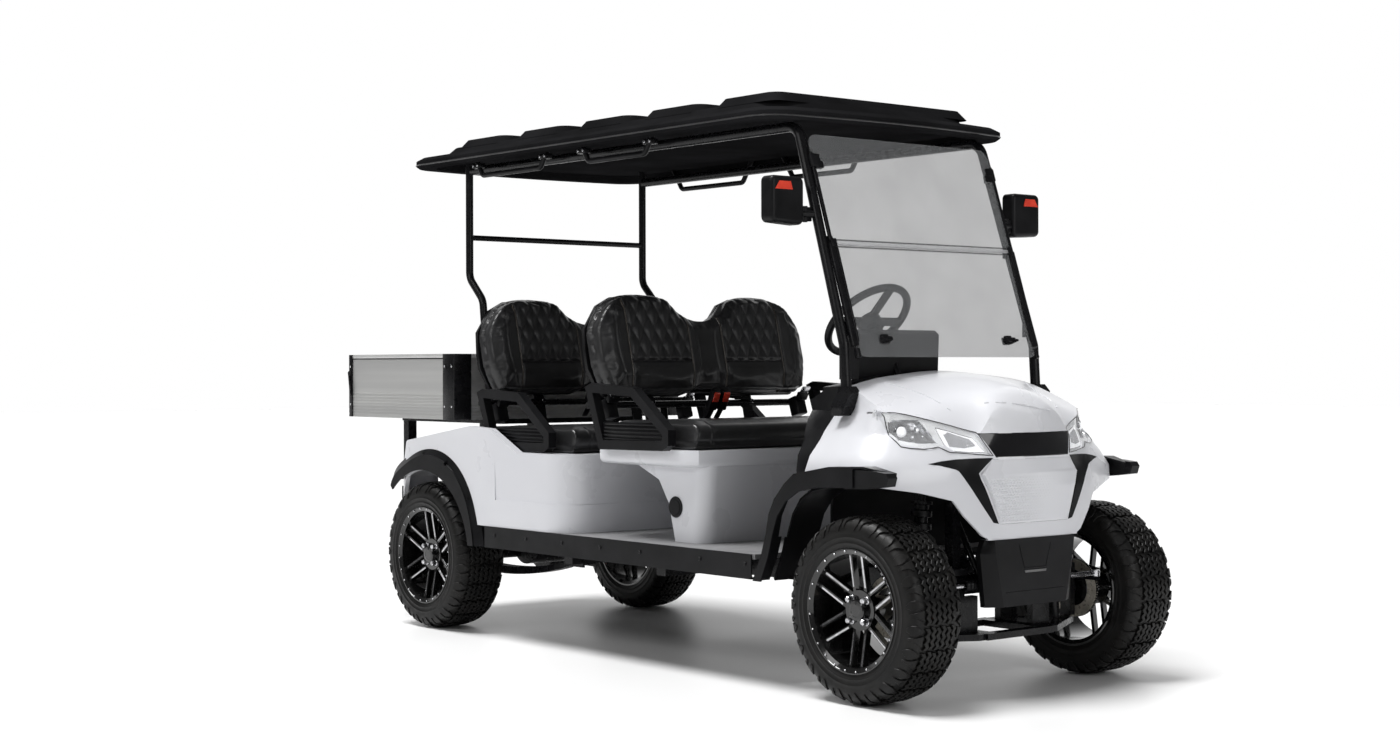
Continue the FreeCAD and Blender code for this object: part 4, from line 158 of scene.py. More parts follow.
finishes = {
    "pearlWhite": dict(tones=((0.60, 0.605, 0.635), (0.64, 0.645, 0.67)), gloss=(0.26, 0.34),
                       toneSize=1.3, grainSize=900, grainDepth=0.006, coat=0.2),
    "mouldedBlack": dict(tones=((0.004, 0.004, 0.0045), (0.008, 0.008, 0.009)), gloss=(0.28, 0.42),
                         toneSize=6, grainSize=1400, grainDepth=0.05, shine=0.14),
    "pianoBlack": dict(tones=((0.003, 0.003, 0.004), (0.006, 0.006, 0.007)), gloss=(0.06, 0.12),
                       toneSize=3, grainSize=700, grainDepth=0.004, coat=0.6, shine=0.4),
    "powderBlack": dict(tones=((0.004, 0.004, 0.0045), (0.007, 0.007, 0.008)), gloss=(0.22, 0.34),
                        toneSize=9, grainSize=2200, grainDepth=0.04, shine=0.2),
    "roofBlack": dict(tones=((0.009, 0.009, 0.0095), (0.014, 0.014, 0.015)), gloss=(0.32, 0.44),
                      toneSize=4, grainSize=900, grainDepth=0.03, shine=0.0),
    "tyreRubber": dict(tones=((0.004, 0.004, 0.004), (0.008, 0.0075, 0.007)), gloss=(0.36, 0.52),
                       toneSize=14, grainSize=800, grainDepth=0.05, shine=0.22),
    "alloyBlack": dict(tones=((0.003, 0.003, 0.003), (0.007, 0.007, 0.007)), gloss=(0.08, 0.16),
                       toneSize=8, grainSize=900, grainDepth=0.006, coat=0.6, shine=0.4),
    "milledEdge": dict(tones=((0.40, 0.40, 0.41), (0.62, 0.62, 0.64)), gloss=(0.10, 0.18),
                       toneSize=60, grainSize=900, grainDepth=0.02, metal=1.0),
    "brightSteel": dict(tones=((0.50, 0.50, 0.52), (0.68, 0.68, 0.70)), gloss=(0.18, 0.32),
                        toneSize=40, grainSize=600, grainDepth=0.02, metal=1.0),
    "boxAluminium": dict(tones=((0.46, 0.46, 0.455), (0.54, 0.54, 0.53)), gloss=(0.34, 0.46),
                         toneSize=7, grainSize=160, grainDepth=0.03, metal=0.6, stretch=(1, 0.04, 3)),
    "floorMat": dict(tones=((0.16, 0.16, 0.165), (0.20, 0.20, 0.205)), gloss=(0.5, 0.7),
                     toneSize=5, grainSize=500, grainDepth=0.2),
    "seatHide": dict(tones=((0.013, 0.013, 0.0135), (0.021, 0.021, 0.022)), gloss=(0.28, 0.38),
                     toneSize=9, grainSize=700, grainDepth=0.05, shine=0.42),
    # The lamp bezels' white finish glows faintly though the bezels give no light: a painted glow that
    # brightens them
    "lampWhite": dict(tones=((0.68, 0.69, 0.71), (0.76, 0.77, 0.78)), gloss=(0.12, 0.2),
                      toneSize=8, grainSize=700, grainDepth=0.004, coat=0.5, glow=0.10),
    "lampGlow": dict(tones=((0.88, 0.89, 0.92), (0.92, 0.93, 0.95)), gloss=(0.05, 0.1),
                     toneSize=12, grainSize=300, grainDepth=0.01, glow=0.30),
    "lampSmoke": dict(tones=((0.26, 0.265, 0.28), (0.33, 0.335, 0.35)), gloss=(0.1, 0.2),
                      toneSize=12, grainSize=500, grainDepth=0.004),
    "lampChrome": dict(tones=((0.20, 0.20, 0.21), (0.62, 0.63, 0.65)), gloss=(0.05, 0.14),
                       toneSize=50, grainSize=160, grainDepth=0.06, metal=1.0),
    "greyPlastic": dict(tones=((0.10, 0.10, 0.10), (0.13, 0.13, 0.13)), gloss=(0.35, 0.5),
                        toneSize=20, grainSize=900, grainDepth=0.03),
    "signalRed": dict(tones=((0.62, 0.045, 0.025), (0.72, 0.06, 0.03)), gloss=(0.12, 0.22),
                      toneSize=30, grainSize=420, grainDepth=0.02, coat=0.4),
    "railAluminium": dict(tones=((0.58, 0.58, 0.575), (0.66, 0.66, 0.65)), gloss=(0.28, 0.4),
                          toneSize=9, grainSize=200, grainDepth=0.02, metal=0.5),
    "brakeSteel": dict(tones=((0.40, 0.37, 0.31), (0.56, 0.52, 0.45)), gloss=(0.24, 0.36),
                       toneSize=30, grainSize=500, grainDepth=0.03, metal=0.45),
    "seatPiping": dict(tones=((0.045, 0.038, 0.032), (0.065, 0.056, 0.048)), gloss=(0.25, 0.35),
                       toneSize=20, grainSize=900, grainDepth=0.05),
}


# A clear or smoked pane: cover is how much of what lies behind it is hidden
def makeGlazing(name, tint, cover, gloss, shine=0.5, coat=0.1):
    spec = surfaceSpec
    material, tree, shader = startMaterial(name)
    place = objectPlace(tree)
    haze = spread(tree, noise(tree, place, spec["hazeScale"], 2), 0.3, 0.7,
                  cover - spec["hazeSpread"], cover + spec["hazeSpread"])
    tree.links.new(haze, shader.inputs["Alpha"])
    shade = tuple(spec["tintShade"] * part for part in tint)
    tone = blendColours(tree, noise(tree, place, spec["tintScale"]), tint, shade)
    tree.links.new(tone, shader.inputs["Base Color"])
    shader.inputs["Roughness"].default_value = gloss
    shader.inputs["Specular IOR Level"].default_value = shine
    shader.inputs["Coat Weight"].default_value = coat
    shader.inputs["Coat Roughness"].default_value = spec["paneCoatGloss"]
    material.blend_method = "BLEND"
    return material


glazings = {
    "screenTint": dict(tint=(0.22, 0.225, 0.23), cover=0.38, gloss=0.08, shine=0.1, coat=0.0),
    "screenSeam": dict(tint=(0.05, 0.05, 0.055), cover=0.62, gloss=0.15),
    "screenStrip": dict(tint=(0.62, 0.62, 0.64), cover=0.55, gloss=0.10),
    "lampLens": dict(tint=(0.85, 0.86, 0.88), cover=0.16, gloss=0.03),
    "redLens": dict(tint=(0.55, 0.02, 0.02), cover=0.85, gloss=0.08),
}
looks = {name: makeFinish(name, **values) for name, values in finishes.items()}
looks.update({name: makeGlazing(name, **values) for name, values in glazings.items()})


# The CAD pieces keep their shape and take their finish here
cadFinish = {
    "tyreRubber": ["tyre_front_right", "tyre_front_left", "tyre_rear_right", "tyre_rear_left"],
    "alloyBlack": ["rim_front_right", "rim_front_left", "rim_rear_right", "rim_rear_left"],
    "powderBlack": ["knuckle_left", "knuckle_right", "control_arms", "coil_over_dampers",
                    "steering_column", "chassis_frame", "frame_crossmembers", "frame_brackets",
                    "roof_rails", "pedals", "front_pillars", "rear_hoop", "seat_frames", "cargo_support",
                    "rear_axle", "leaf_springs"],
    "mouldedBlack": ["steering_rack", "steering_wheel", "rocker_skirts", "cowl_side_trims",
                     "front_bumper", "front_flares", "dashboard", "mirrors", "grab_handles",
                     "armrest_loops", "rear_flares", "cargo_corner_posts", "front_back_shell",
                     "rear_back_shell"],
    "roofBlack": ["roof"],
    "pearlWhite": ["front_cowl", "nose_panel", "front_seat_base", "rear_body"],
    "pianoBlack": ["grille_band", "fascia_inserts"],
    "brightSteel": ["tie_rod"],
    "floorMat": ["floor_deck"],
    "seatHide": ["front_seat_cushion", "rear_seat_cushion", "front_backrest", "rear_backrest"],
    "boxAluminium": ["cargo_box", "tailgate"],
    "screenTint": ["windscreen_lower", "windscreen_upper"],
    "lampLens": ["headlamps"],
    "redLens": ["tail_lamps"],
}
smoothSpec = {
    "angle": 32, "weld": 0.00002,
    "nodes": ["front_cowl", "rear_body", "front_seat_base", "roof", "front_flares", "rear_flares",
              "cowl_side_trims", "dashboard", "mirrors", "grab_handles", "front_pillars", "rear_hoop",
              "steering_wheel", "armrest_loops", "nose_panel", "front_back_shell", "rear_back_shell"],
}


# Curved faces of the CAD pieces are shaded smooth, with their edges kept sharp
def smoothTree():
    tree, given, result = startTree("smoothShade")
    joined = addNode(tree, "GeometryNodeMergeByDistance", None, {
        "Geometry": given.outputs["Geometry"], "Distance": smoothSpec["weld"]})
    whole = addNode(tree, "GeometryNodeSetShadeSmooth", {"domain": "FACE"}, {
        "Geometry": joined.outputs["Geometry"]})
    angle = addNode(tree, "GeometryNodeInputMeshEdgeAngle")
    soft = addNode(tree, "FunctionNodeCompare", {"data_type": "FLOAT", "operation": "LESS_THAN"}, {
        0: angle.outputs["Unsigned Angle"], 1: math.radians(smoothSpec["angle"])})
    edges = addNode(tree, "GeometryNodeSetShadeSmooth", {"domain": "EDGE"}, {
        "Geometry": whole.outputs["Geometry"], "Shade Smooth": soft.outputs["Result"]})
    tree.links.new(edges.outputs["Geometry"], result.inputs["Geometry"])
    return tree


def dressCad():
    for finish, names in cadFinish.items():
        for name in names:
            nodes[name].data.materials.clear()
            nodes[name].data.materials.append(looks[finish])
    smoothing = smoothTree()
    for name in smoothSpec["nodes"]:
        nodes[name].modifiers.new("Smooth", "NODES").node_group = smoothing


dressCad()
print("finishes ready:", len(looks))


# Studio

studio = {
    "floorSize": 80, "floorTones": ((0.73, 0.73, 0.73), (0.75, 0.75, 0.75)), "floorGloss": (0.35, 0.45),
    "skyDim": 0.12, "skyBright": 1.0, "brightSide": (0.55, 0.80, 0.15), "brightSpan": (0.58, 0.86),
    "sunStrength": 4.2, "sunSpread": 26, "sunTurn": (-14, -12, 0),
    "softboxes": {  # power, size, place and target
        "topSoftbox": (20, (5, 4), (0, 0, 5.5), (0, 0, 0)),
        "keySoftbox": (120, (6.0, 2.0), (-6.0, -0.5, 4.4), (0, 0, 0.6)),
        "fillSoftbox": (140, (4.5, 3.5), (-0.4, -8.0, 3.2), (0, -0.8, 0.7)),
    },
}


def addSoftbox(name, power, size, place, target):
    data = bpy.data.lights.new(name, "AREA")
    data.energy = power
    data.shape = "RECTANGLE"
    data.size, data.size_y = size
    lamp = linked(name, data)
    lamp.location = place
    lamp.rotation_mode = "QUATERNION"
    lamp.rotation_quaternion = (Vector(target) - Vector(place)).to_track_quat("-Z", "Y")


def buildStudio():
    half = studio["floorSize"] / 2
    mesh = bpy.data.meshes.new("studioFloor")
    corners = [(-half, -half, 0), (half, -half, 0), (half, half, 0), (-half, half, 0)]
    mesh.from_pydata(corners, [], [(0, 1, 2, 3)])
    mesh.materials.append(makeFinish("paleFloor", studio["floorTones"], studio["floorGloss"], 0.3, 40, 0))
    linked("studioFloor", mesh)
    world = bpy.data.worlds.new("studioSky")
    world.use_nodes = True
    tree = world.node_tree
    background = tree.nodes["Background"]
    direction = addNode(tree, "ShaderNodeTexCoord")
    aim = addNode(tree, "ShaderNodeVectorMath", {"operation": "DOT_PRODUCT"}, {
        0: direction.outputs["Generated"], 1: studio["brightSide"]})
    glow = spread(tree, aim.outputs["Value"], *studio["brightSpan"], studio["skyDim"], studio["skyBright"])
    background.inputs["Color"].default_value = (1, 1, 1, 1)
    tree.links.new(glow, background.inputs["Strength"])
    bpy.context.scene.world = world
    for name, values in studio["softboxes"].items():
        addSoftbox(name, *values)
    sun = bpy.data.lights.new("softSun", "SUN")
    sun.energy = studio["sunStrength"]
    sun.angle = math.radians(studio["sunSpread"])
    linked("softSun", sun).rotation_euler = [math.radians(part) for part in studio["sunTurn"]]
    bpy.context.scene.view_settings.view_transform = "Standard"


# The camera as fitted to the photo: place in millimetres, turns in degrees, focus and width in pixels
view = {"place": (-4871.6, -4480.3, 1034.8), "yaw": -39.362, "pitch": 0.249, "roll": -0.128,
        "focus": 2026.4, "width": 1400, "sensor": 36}


def placeCamera():
    yaw, pitch, roll = (math.radians(view[key]) for key in ("yaw", "pitch", "roll"))
    back = Vector((math.sin(yaw) * math.cos(pitch), -math.cos(yaw) * math.cos(pitch), math.sin(pitch)))
    side = (-back).cross(Vector((0, 0, 1))).normalized()
    rise = side.cross(-back)
    right = math.cos(roll) * side + math.sin(roll) * rise
    up = math.cos(roll) * rise - math.sin(roll) * side
    data = bpy.data.cameras.new("photoCamera")
    data.sensor_width = view["sensor"]
    data.lens = view["focus"] / view["width"] * data.sensor_width
    camera = linked("photoCamera", data)
    turn = Matrix((right, up, back)).transposed().to_4x4()
    camera.matrix_world = Matrix.Translation(onCart(*view["place"])) @ turn
    bpy.context.scene.camera = camera


# Mesh helpers

weldReach = 0.00002


def newMesh(name, points, faces):
    mesh = bpy.data.meshes.new(name)
    mesh.from_pydata([tuple(point) for point in points], [], faces)
    mesh.update()
    return mesh


def rework(mesh, work):
    edit = bmesh.new()
    edit.from_mesh(mesh)
    work(edit)
    edit.to_mesh(mesh)
    edit.free()
    mesh.update()
    return mesh


def outward(mesh):
    def work(edit):
        bmesh.ops.remove_doubles(edit, verts=edit.verts, dist=weldReach)
        bmesh.ops.recalc_face_normals(edit, faces=edit.faces)
    return rework(mesh, work)


def dropLoose(mesh):
    def work(edit):
        loose = [point for point in edit.verts if not point.link_faces]
        bmesh.ops.delete(edit, geom=loose, context="VERTS")
    return rework(mesh, work)


def addPiece(name, mesh, look, body="vehicle", angle=35, weld=True):
    if weld:
        outward(mesh)
    mesh.materials.clear()
    mesh.materials.append(looks[look])
    mesh.shade_smooth()
    mesh.set_sharp_from_angle(angle=math.radians(angle))
    piece = linked(name, mesh)
    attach(piece, body)
    return piece


def joinMeshes(name, meshes):
    edit = bmesh.new()
    for mesh in meshes:
        edit.from_mesh(mesh)
    joined = bpy.data.meshes.new(name)
    edit.to_mesh(joined)
    edit.free()
    return joined


def latheMesh(name, profile, steps, closed=False):
    points, faces = [], []
    count = len(profile)
    for step in range(steps):
        turn = 2 * math.pi * step / steps
        for along, out in profile:
            points.append((along, out * math.cos(turn), out * math.sin(turn)))
    for step in range(steps):
        after = (step + 1) % steps
        for index in range(count if closed else count - 1):
            follow = (index + 1) % count
            faces.append((step * count + index, step * count + follow, after * count + follow,
                          after * count + index))
    return newMesh(name, points, faces)


def mirrorMesh(mesh):
    other = mesh.copy()
    other.transform(Matrix.Scale(-1, 4, (1, 0, 0)))
    other.flip_normals()
    return other


# A piece drawn on the cart's right side, with its twin on the left
def addBoth(name, mesh, look, body="vehicle"):
    outward(mesh)
    return addPiece(name, joinMeshes(name, [mesh, mirrorMesh(mesh)]), look, body, weld=False)


def blockMesh(name, centre, size, bevel, turn=None):
    edit = bmesh.new()
    bmesh.ops.create_cube(edit, size=1)
    bmesh.ops.scale(edit, vec=Vector(size), verts=edit.verts)
    bmesh.ops.bevel(edit, geom=edit.edges, offset=bevel, segments=2, affect="EDGES", profile=0.5)
    if turn is not None:
        bmesh.ops.rotate(edit, cent=(0, 0, 0), matrix=turn, verts=edit.verts)
    bmesh.ops.translate(edit, vec=Vector(centre), verts=edit.verts)
    mesh = bpy.data.meshes.new(name)
    edit.to_mesh(mesh)
    edit.free()
    return mesh


def tilt(degrees):
    return Matrix.Rotation(math.radians(degrees), 3, "X")


# Turned shapes are made round the X axis and then set on their own
def ontoAxis(mesh, centre, axis):
    turn = Vector(axis).to_track_quat("X", "Z").to_matrix().to_4x4()
    mesh.transform(Matrix.Translation(Vector(centre)) @ turn)
    return mesh


def discMesh(name, centre, axis, radius, depth, steps, bevel):
    edge = min(bevel, depth / 2, radius / 2)
    profile = [(0, 0), (0, radius - edge), (edge, radius),
               (depth - edge, radius), (depth, radius - edge), (depth, 0)]
    return ontoAxis(latheMesh(name, profile, steps), centre, axis)


def domeMesh(name, centre, axis, radius, flatness=0.8, bands=6, steps=32):
    profile = [(-radius * 0.5, 0), (-radius * 0.5, radius)]
    for band in range(bands):
        angle = math.pi / 2 * band / bands
        profile.append((radius * flatness * math.sin(angle), radius * math.cos(angle)))
    profile.append((radius * flatness, 0))
    return ontoAxis(latheMesh(name, profile, steps), centre, axis)


def ringMesh(name, centre, axis, inner, outer, depth, steps):
    edge = min(0.2 * (outer - inner), 0.2 * depth)
    profile = [(0, inner), (0, outer - edge), (edge, outer),
               (depth - edge, outer), (depth, outer - edge), (depth, inner)]
    return ontoAxis(latheMesh(name, profile, steps, closed=True), centre, axis)


# Faces between two equal loops of points, with both ends closed
def prismFaces(count):
    faces = [tuple(range(count)), tuple(range(2 * count - 1, count - 1, -1))]
    for index in range(count):
        after = (index + 1) % count
        faces.append((index, after, count + after, count + index))
    return faces


# A flat outline given a thickness
def plateMesh(name, outline, near, far):
    def work(edit):
        bmesh.ops.triangulate(edit, faces=edit.faces)
        bmesh.ops.recalc_face_normals(edit, faces=edit.faces)
    points = [(a, depth, b) for depth in (near, far) for a, b in outline]
    return rework(newMesh(name, points, prismFaces(len(outline))), work)


# A round tube along points, or along a smooth line through them
def tubeMesh(name, points, radius, smooth=False):
    curve = bpy.data.curves.new(name, "CURVE")
    curve.dimensions = "3D"
    curve.bevel_depth = radius
    curve.bevel_resolution = 2
    curve.use_fill_caps = True
    spline = curve.splines.new("NURBS" if smooth else "POLY")
    spline.points.add(len(points) - 1)
    for point, place in zip(spline.points, points):
        point.co = (*place, 1)
    if smooth:
        spline.order_u = 3
        spline.use_endpoint_u = True
        spline.resolution_u = 6
    carrier = linked(name, curve)
    mesh = finalMesh(carrier)
    bpy.data.objects.remove(carrier)
    return mesh


# Geometry Nodes: one unit is set along a line or round the X axis, realised and given its finish
def repeatTree(name, look):
    tree, given, result = startTree(name, (
        ("Unit", "NodeSocketObject"), ("Count", "NodeSocketInt"), ("Step", "NodeSocketVector"),
        ("Sweep", "NodeSocketFloat"), ("First Angle", "NodeSocketFloat")))
    line = addNode(tree, "GeometryNodeMeshLine", None, {
        "Count": given.outputs["Count"], "Offset": given.outputs["Step"]})
    share = addNode(tree, "ShaderNodeMath", {"operation": "DIVIDE"}, {
        0: given.outputs["Sweep"], 1: given.outputs["Count"]})
    index = addNode(tree, "GeometryNodeInputIndex")
    angle = addNode(tree, "ShaderNodeMath", {"operation": "MULTIPLY_ADD"}, {
        0: index.outputs["Index"], 1: share.outputs["Value"], 2: given.outputs["First Angle"]})
    turn = addNode(tree, "ShaderNodeCombineXYZ", None, {"X": angle.outputs["Value"]})
    unit = addNode(tree, "GeometryNodeObjectInfo", None, {"Object": given.outputs["Unit"]})
    placed = addNode(tree, "GeometryNodeInstanceOnPoints", None, {
        "Points": line.outputs["Mesh"], "Instance": unit.outputs["Geometry"],
        "Rotation": turn.outputs["Vector"]})
    real = addNode(tree, "GeometryNodeRealizeInstances", None, {"Geometry": placed.outputs["Instances"]})
    painted = addNode(tree, "GeometryNodeSetMaterial", None, {
        "Geometry": real.outputs["Geometry"], "Material": looks[look]})
    tree.links.new(painted.outputs["Geometry"], result.inputs["Geometry"])
    return tree


def repeated(name, unitMesh, look, count, step=(0.0, 0.0, 0.0), sweep=0.0, firstAngle=0.0):
    tree = repeatTree(name, look)
    unit = linked(name + "Unit", unitMesh)
    carrier = linked(name + "Carrier", bpy.data.meshes.new(name + "Seed"))
    modifier = carrier.modifiers.new("work", "NODES")
    modifier.node_group = tree
    values = {"Unit": unit, "Count": count, "Step": step, "Sweep": sweep, "First Angle": firstAngle}
    for item in tree.interface.items_tree:
        if item.in_out == "INPUT" and item.name in values:
            modifier[item.identifier] = values[item.name]
    carrier.update_tag()
    mesh = finalMesh(carrier)
    for helper in (carrier, unit):
        bpy.data.objects.remove(helper)
    return mesh


def ringOf(name, unitMesh, count, look, firstAngle=0.0):
    return repeated(name, unitMesh, look, count, sweep=2 * math.pi, firstAngle=firstAngle)


# Tyres: a turned carcass with a ring of tread pitches, in metres

tyreSpec = {
    "radius": 0.290, "pitches": 46, "blockShare": 0.87, "steps": 96, "sharp": 28,
    "ribs": 6, "ribShare": 0.34, "ribStagger": 0.12, "zigzag": 0.0042, "bends": 3, "barReach": 0.064,
    "lugGap": 0.007, "sideShift": 0.5, "grooveDepth": 0.0105, "sideDepth": 0.0055, "shoulder": 0.05,
    "edge": 0.0012,
    # Shoulder lugs: how far out from the ribs, and from where to where round the tyre in pitches
    "lugs": [[(0, 0.30, 1.18), (0.013, 0.46, 1.10), (0.026, 0.62, 1.02), (0.040, 0.66, 0.96),
              (0.052, 0.72, 0.86)],
             [(0, 0.52, 0.60), (0.013, 0.36, 0.84), (0.026, 0.16, 1.00), (0.040, 0.14, 0.98),
              (0.050, 0.30, 0.86), (0.060, 0.40, 0.66)]],
    "crown": [(0, 0.290), (0.030, 0.2898), (0.052, 0.2890), (0.074, 0.2862), (0.090, 0.2805),
              (0.1005, 0.2715), (0.1065, 0.2590), (0.1090, 0.2460), (0.1092, 0.2330)],
    "carcass": [(0.0940, 0.1805), (0.0940, 0.1935), (0.1005, 0.1937), (0.1018, 0.1990), (0.1040, 0.2040),
                (0.1056, 0.2062), (0.1063, 0.2085), (0.1050, 0.2112), (0.1052, 0.2170), (0.1060, 0.2250),
                (0.1066, 0.2262), (0.1060, 0.2275), (0.1056, 0.2380), (0.1048, 0.2480), (0.1020, 0.2590),
                (0.0960, 0.2685), (0.0850, 0.2755), (0.0650, 0.2788), (0.0300, 0.2795), (0, 0.2796)],
}


# Where the tread's outer skin lies, a distance out from the middle, with the way it faces
def crownAt(distance):
    side = -1 if distance < 0 else 1
    left = abs(distance)
    crown = tyreSpec["crown"]
    for (x0, r0), (x1, r1) in zip(crown, crown[1:]):
        length = math.hypot(x1 - x0, r1 - r0)
        if left <= length or (x1, r1) == crown[-1]:
            share = left / length
            place = side * (x0 + share * (x1 - x0)), r0 + share * (r1 - r0)
            return *place, side * (r0 - r1) / length, (x1 - x0) / length
        left -= length


def treadPoint(across, inward, along):
    x, r, nx, nr = crownAt(across)
    out = r - nr * inward
    angle = along / tyreSpec["radius"]
    return x - nx * inward, out * math.sin(angle), out * math.cos(angle)


def depthAt(across):
    share = min(1, max(0, (abs(across) - tyreSpec["barReach"]) / tyreSpec["shoulder"]))
    return tyreSpec["grooveDepth"] * (1 - share) + tyreSpec["sideDepth"] * share


# Faces along a bar of tread whose sections have six points each
def barFaces(sections, size=6):
    faces = []
    for number in range(sections - 1):
        for side in range(size - 1):
            first = number * size + side
            faces.append((first, first + 1, first + size + 1, first + size))
    return faces + [tuple(range(size)), tuple(range(sections * size - 1, (sections - 1) * size - 1, -1))]


# A lug is a strip of stations: place across the tread, and where it starts and ends round the tyre
def treadLug(stations):
    points = []
    edge = tyreSpec["edge"]
    for number, (across, start, stop) in enumerate(stations):
        deep = depthAt(across)
        tight = edge if (stop - start) > 3 * edge else (stop - start) / 3
        trim = edge if number in (0, len(stations) - 1) else 0
        for along, inward in ((start, deep), (start, edge + trim), (start + tight, trim),
                              (stop - tight, trim), (stop, edge + trim), (stop, deep)):
            points.append(treadPoint(across, inward, along))
    return newMesh("treadLug", points, barFaces(len(stations)))


# A rib runs round the tyre and swings from side to side
def zigzagRib(centre, half, start, stop):
    points = []
    edge, swing, count = tyreSpec["edge"], tyreSpec["zigzag"], 2 * tyreSpec["bends"]
    for number in range(count + 1):
        middle = centre + (swing if number % 2 else -swing)
        along = start + (stop - start) * number / count
        trim = edge if number in (0, count) else 0
        deep = depthAt(middle)
        for across, inward in ((-half, deep), (-half, edge + trim), (edge - half, trim),
                               (half - edge, trim), (half, edge + trim), (half, deep)):
            points.append(treadPoint(middle + across, inward, along))
    return newMesh("zigzagRib", points, barFaces(count + 1))


# Two pitches of tread, which the ring then repeats
def buildTread():
    spec = tyreSpec
    pitch = 2 * math.pi * spec["radius"] / spec["pitches"]
    wide = pitch * spec["blockShare"]
    reach = spec["barReach"]
    ribWide = 2 * reach / spec["ribs"]
    blocks = []
    for number in range(spec["ribs"]):
        centre = (number + 0.5) * ribWide - reach
        lean = spec["ribStagger"] * pitch * (number % 2)
        blocks.append(zigzagRib(centre, spec["ribShare"] * ribWide, lean, lean + 2 * wide))
    for number, lug in enumerate(spec["lugs"]):
        for side in (-1, 1):
            shift = number * pitch + (spec["sideShift"] * pitch if side > 0 else 0)
            stations = [(side * (reach + spec["lugGap"] + out), shift + first * pitch, shift + last * pitch)
                        for out, first, last in lug]
            blocks.append(treadLug(stations[::side]))
    return joinMeshes("treadPitch", blocks)


def eachWheel():
    for end, y in (("front", 0), ("rear", cartSpec["wheelbase"])):
        for side, way in (("right", -1), ("left", 1)):
            yield f"{end}_{side}", onCart(way * cartSpec["halfTrack"], y, cartSpec["axleHeight"])


def buildTyres():
    spec = tyreSpec
    carcass = spec["carcass"]
    profile = [(-x, r) for x, r in carcass] + [(x, r) for x, r in carcass[-2::-1]]
    body = outward(latheMesh("carcass", profile, spec["steps"], closed=True))
    ring = ringOf("treadRing", outward(buildTread()), spec["pitches"] // 2, "tyreRubber")
    whole = joinMeshes("tyreWhole", [body, ring])
    for wheel, place in eachWheel():
        mesh = whole.copy()
        mesh.transform(Matrix.Translation(place))
        piece = addPiece(f"treaded_tyre_{wheel}", mesh, "tyreRubber", f"wheel_{wheel}", angle=spec["sharp"])
        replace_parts(piece, f"tyre_{wheel}")


# Wheel dress: what the bare alloy lacks, set round each axle, in metres

wheelSpec = {
    "spokes": 6, "spokeFace": 0.0583, "spokeRise": 0.020, "spokeStart": 0.0496, "spokeEnd": 0.1719,
    "stripStart": 0.070, "stripEnd": 0.168, "stripEdges": ((0.0225, 0.0012), (0.0282, 0.0005)),
    "stripDeep": 0.004,
    "rivets": 24, "rivetTurn": 7.5, "rivetCircle": 0.1835, "nuts": 4, "nutTurn": 45, "nutCircle": 0.046,
    # Turned parts: face, radius, depth, sides and bevel
    "rivet": (0.1002, 0.0032, 0.0035, 10, 0.0012),
    "nutSkirt": (0.0615, 0.0125, 0.006, 20, 0.0015), "nutHex": (0.066, 0.0100, 0.020, 6, 0.003),
    "cap": [(0.0610, 0.0345), (0.0770, 0.0335), (0.0800, 0.0300), (0.0808, 0.0200), (0.0800, 0.0190),
            (0.0800, 0)],
    "lip": [(0.0900, 0.1745), (0.1010, 0.1870), (0.1026, 0.1880), (0.1030, 0.1900), (0.1022, 0.1925),
            (0.1010, 0.1930), (0.0990, 0.1926), (0.0940, 0.1760)],
    "capSteps": 48, "lipSteps": 96,
}


# A milled strip lies along one edge of a spoke, on its sloping face
def spokeStrip(side):
    spec = wheelSpec
    points = []
    for r in (spec["stripStart"], spec["stripEnd"]):
        share = (r - spec["spokeStart"]) / (spec["spokeEnd"] - spec["spokeStart"])
        face = spec["spokeFace"] + spec["spokeRise"] * share
        for across, high in spec["stripEdges"]:
            for lift in (-spec["stripDeep"], high):
                points.append((face + lift, side * across, r))
    faces = [(0, 1, 3, 2), (4, 6, 7, 5), (0, 4, 5, 1), (2, 3, 7, 6), (1, 5, 7, 3), (0, 2, 6, 4)]
    return newMesh("spokeStrip", points, faces)


def turnedPart(kind, circle):
    face, *sizes = wheelSpec[kind]
    return discMesh(kind, (face, 0, circle), (1, 0, 0), *sizes)


def buildWheelDress():
    spec = wheelSpec
    strips = outward(joinMeshes("strips", [spokeStrip(-1), spokeStrip(1)]))
    rivet = outward(turnedPart("rivet", spec["rivetCircle"]))
    nut = outward(joinMeshes("nut", [turnedPart(kind,
                                                spec["nutCircle"]) for kind in ("nutSkirt", "nutHex")]))
    turns = {kind: math.radians(spec[kind + "Turn"]) for kind in ("rivet", "nut")}
    dress = (
        ("milled_strips", ringOf("milledStrips", strips, spec["spokes"], "milledEdge"), "milledEdge"),
        ("lip_rivets", ringOf("lipRivets", rivet, spec["rivets"], "brightSteel", turns["rivet"]),
         "brightSteel"),
        ("lug_nuts", ringOf("lugNuts", nut, spec["nuts"], "brightSteel", turns["nut"]), "brightSteel"),
        ("centre_cap", latheMesh("cap", spec["cap"], spec["capSteps"]), "alloyBlack"),
        ("rim_lip", latheMesh("lip", spec["lip"], spec["lipSteps"], closed=True), "alloyBlack"),
    )
    for wheel, middle in eachWheel():
        place = Matrix.Translation(middle)
        if wheel.endswith("right"):
            place = place @ Matrix.Rotation(math.pi, 4, "Z")
        for name, source, look in dress:
            mesh = source.copy()
            mesh.transform(place)
            addPiece(f"{name}_{wheel}", mesh, look, f"wheel_{wheel}")


buildTyres()
buildWheelDress()
print("tyres and wheel dress done")


# Seats: sizes in millimetres, voxels and caps in metres

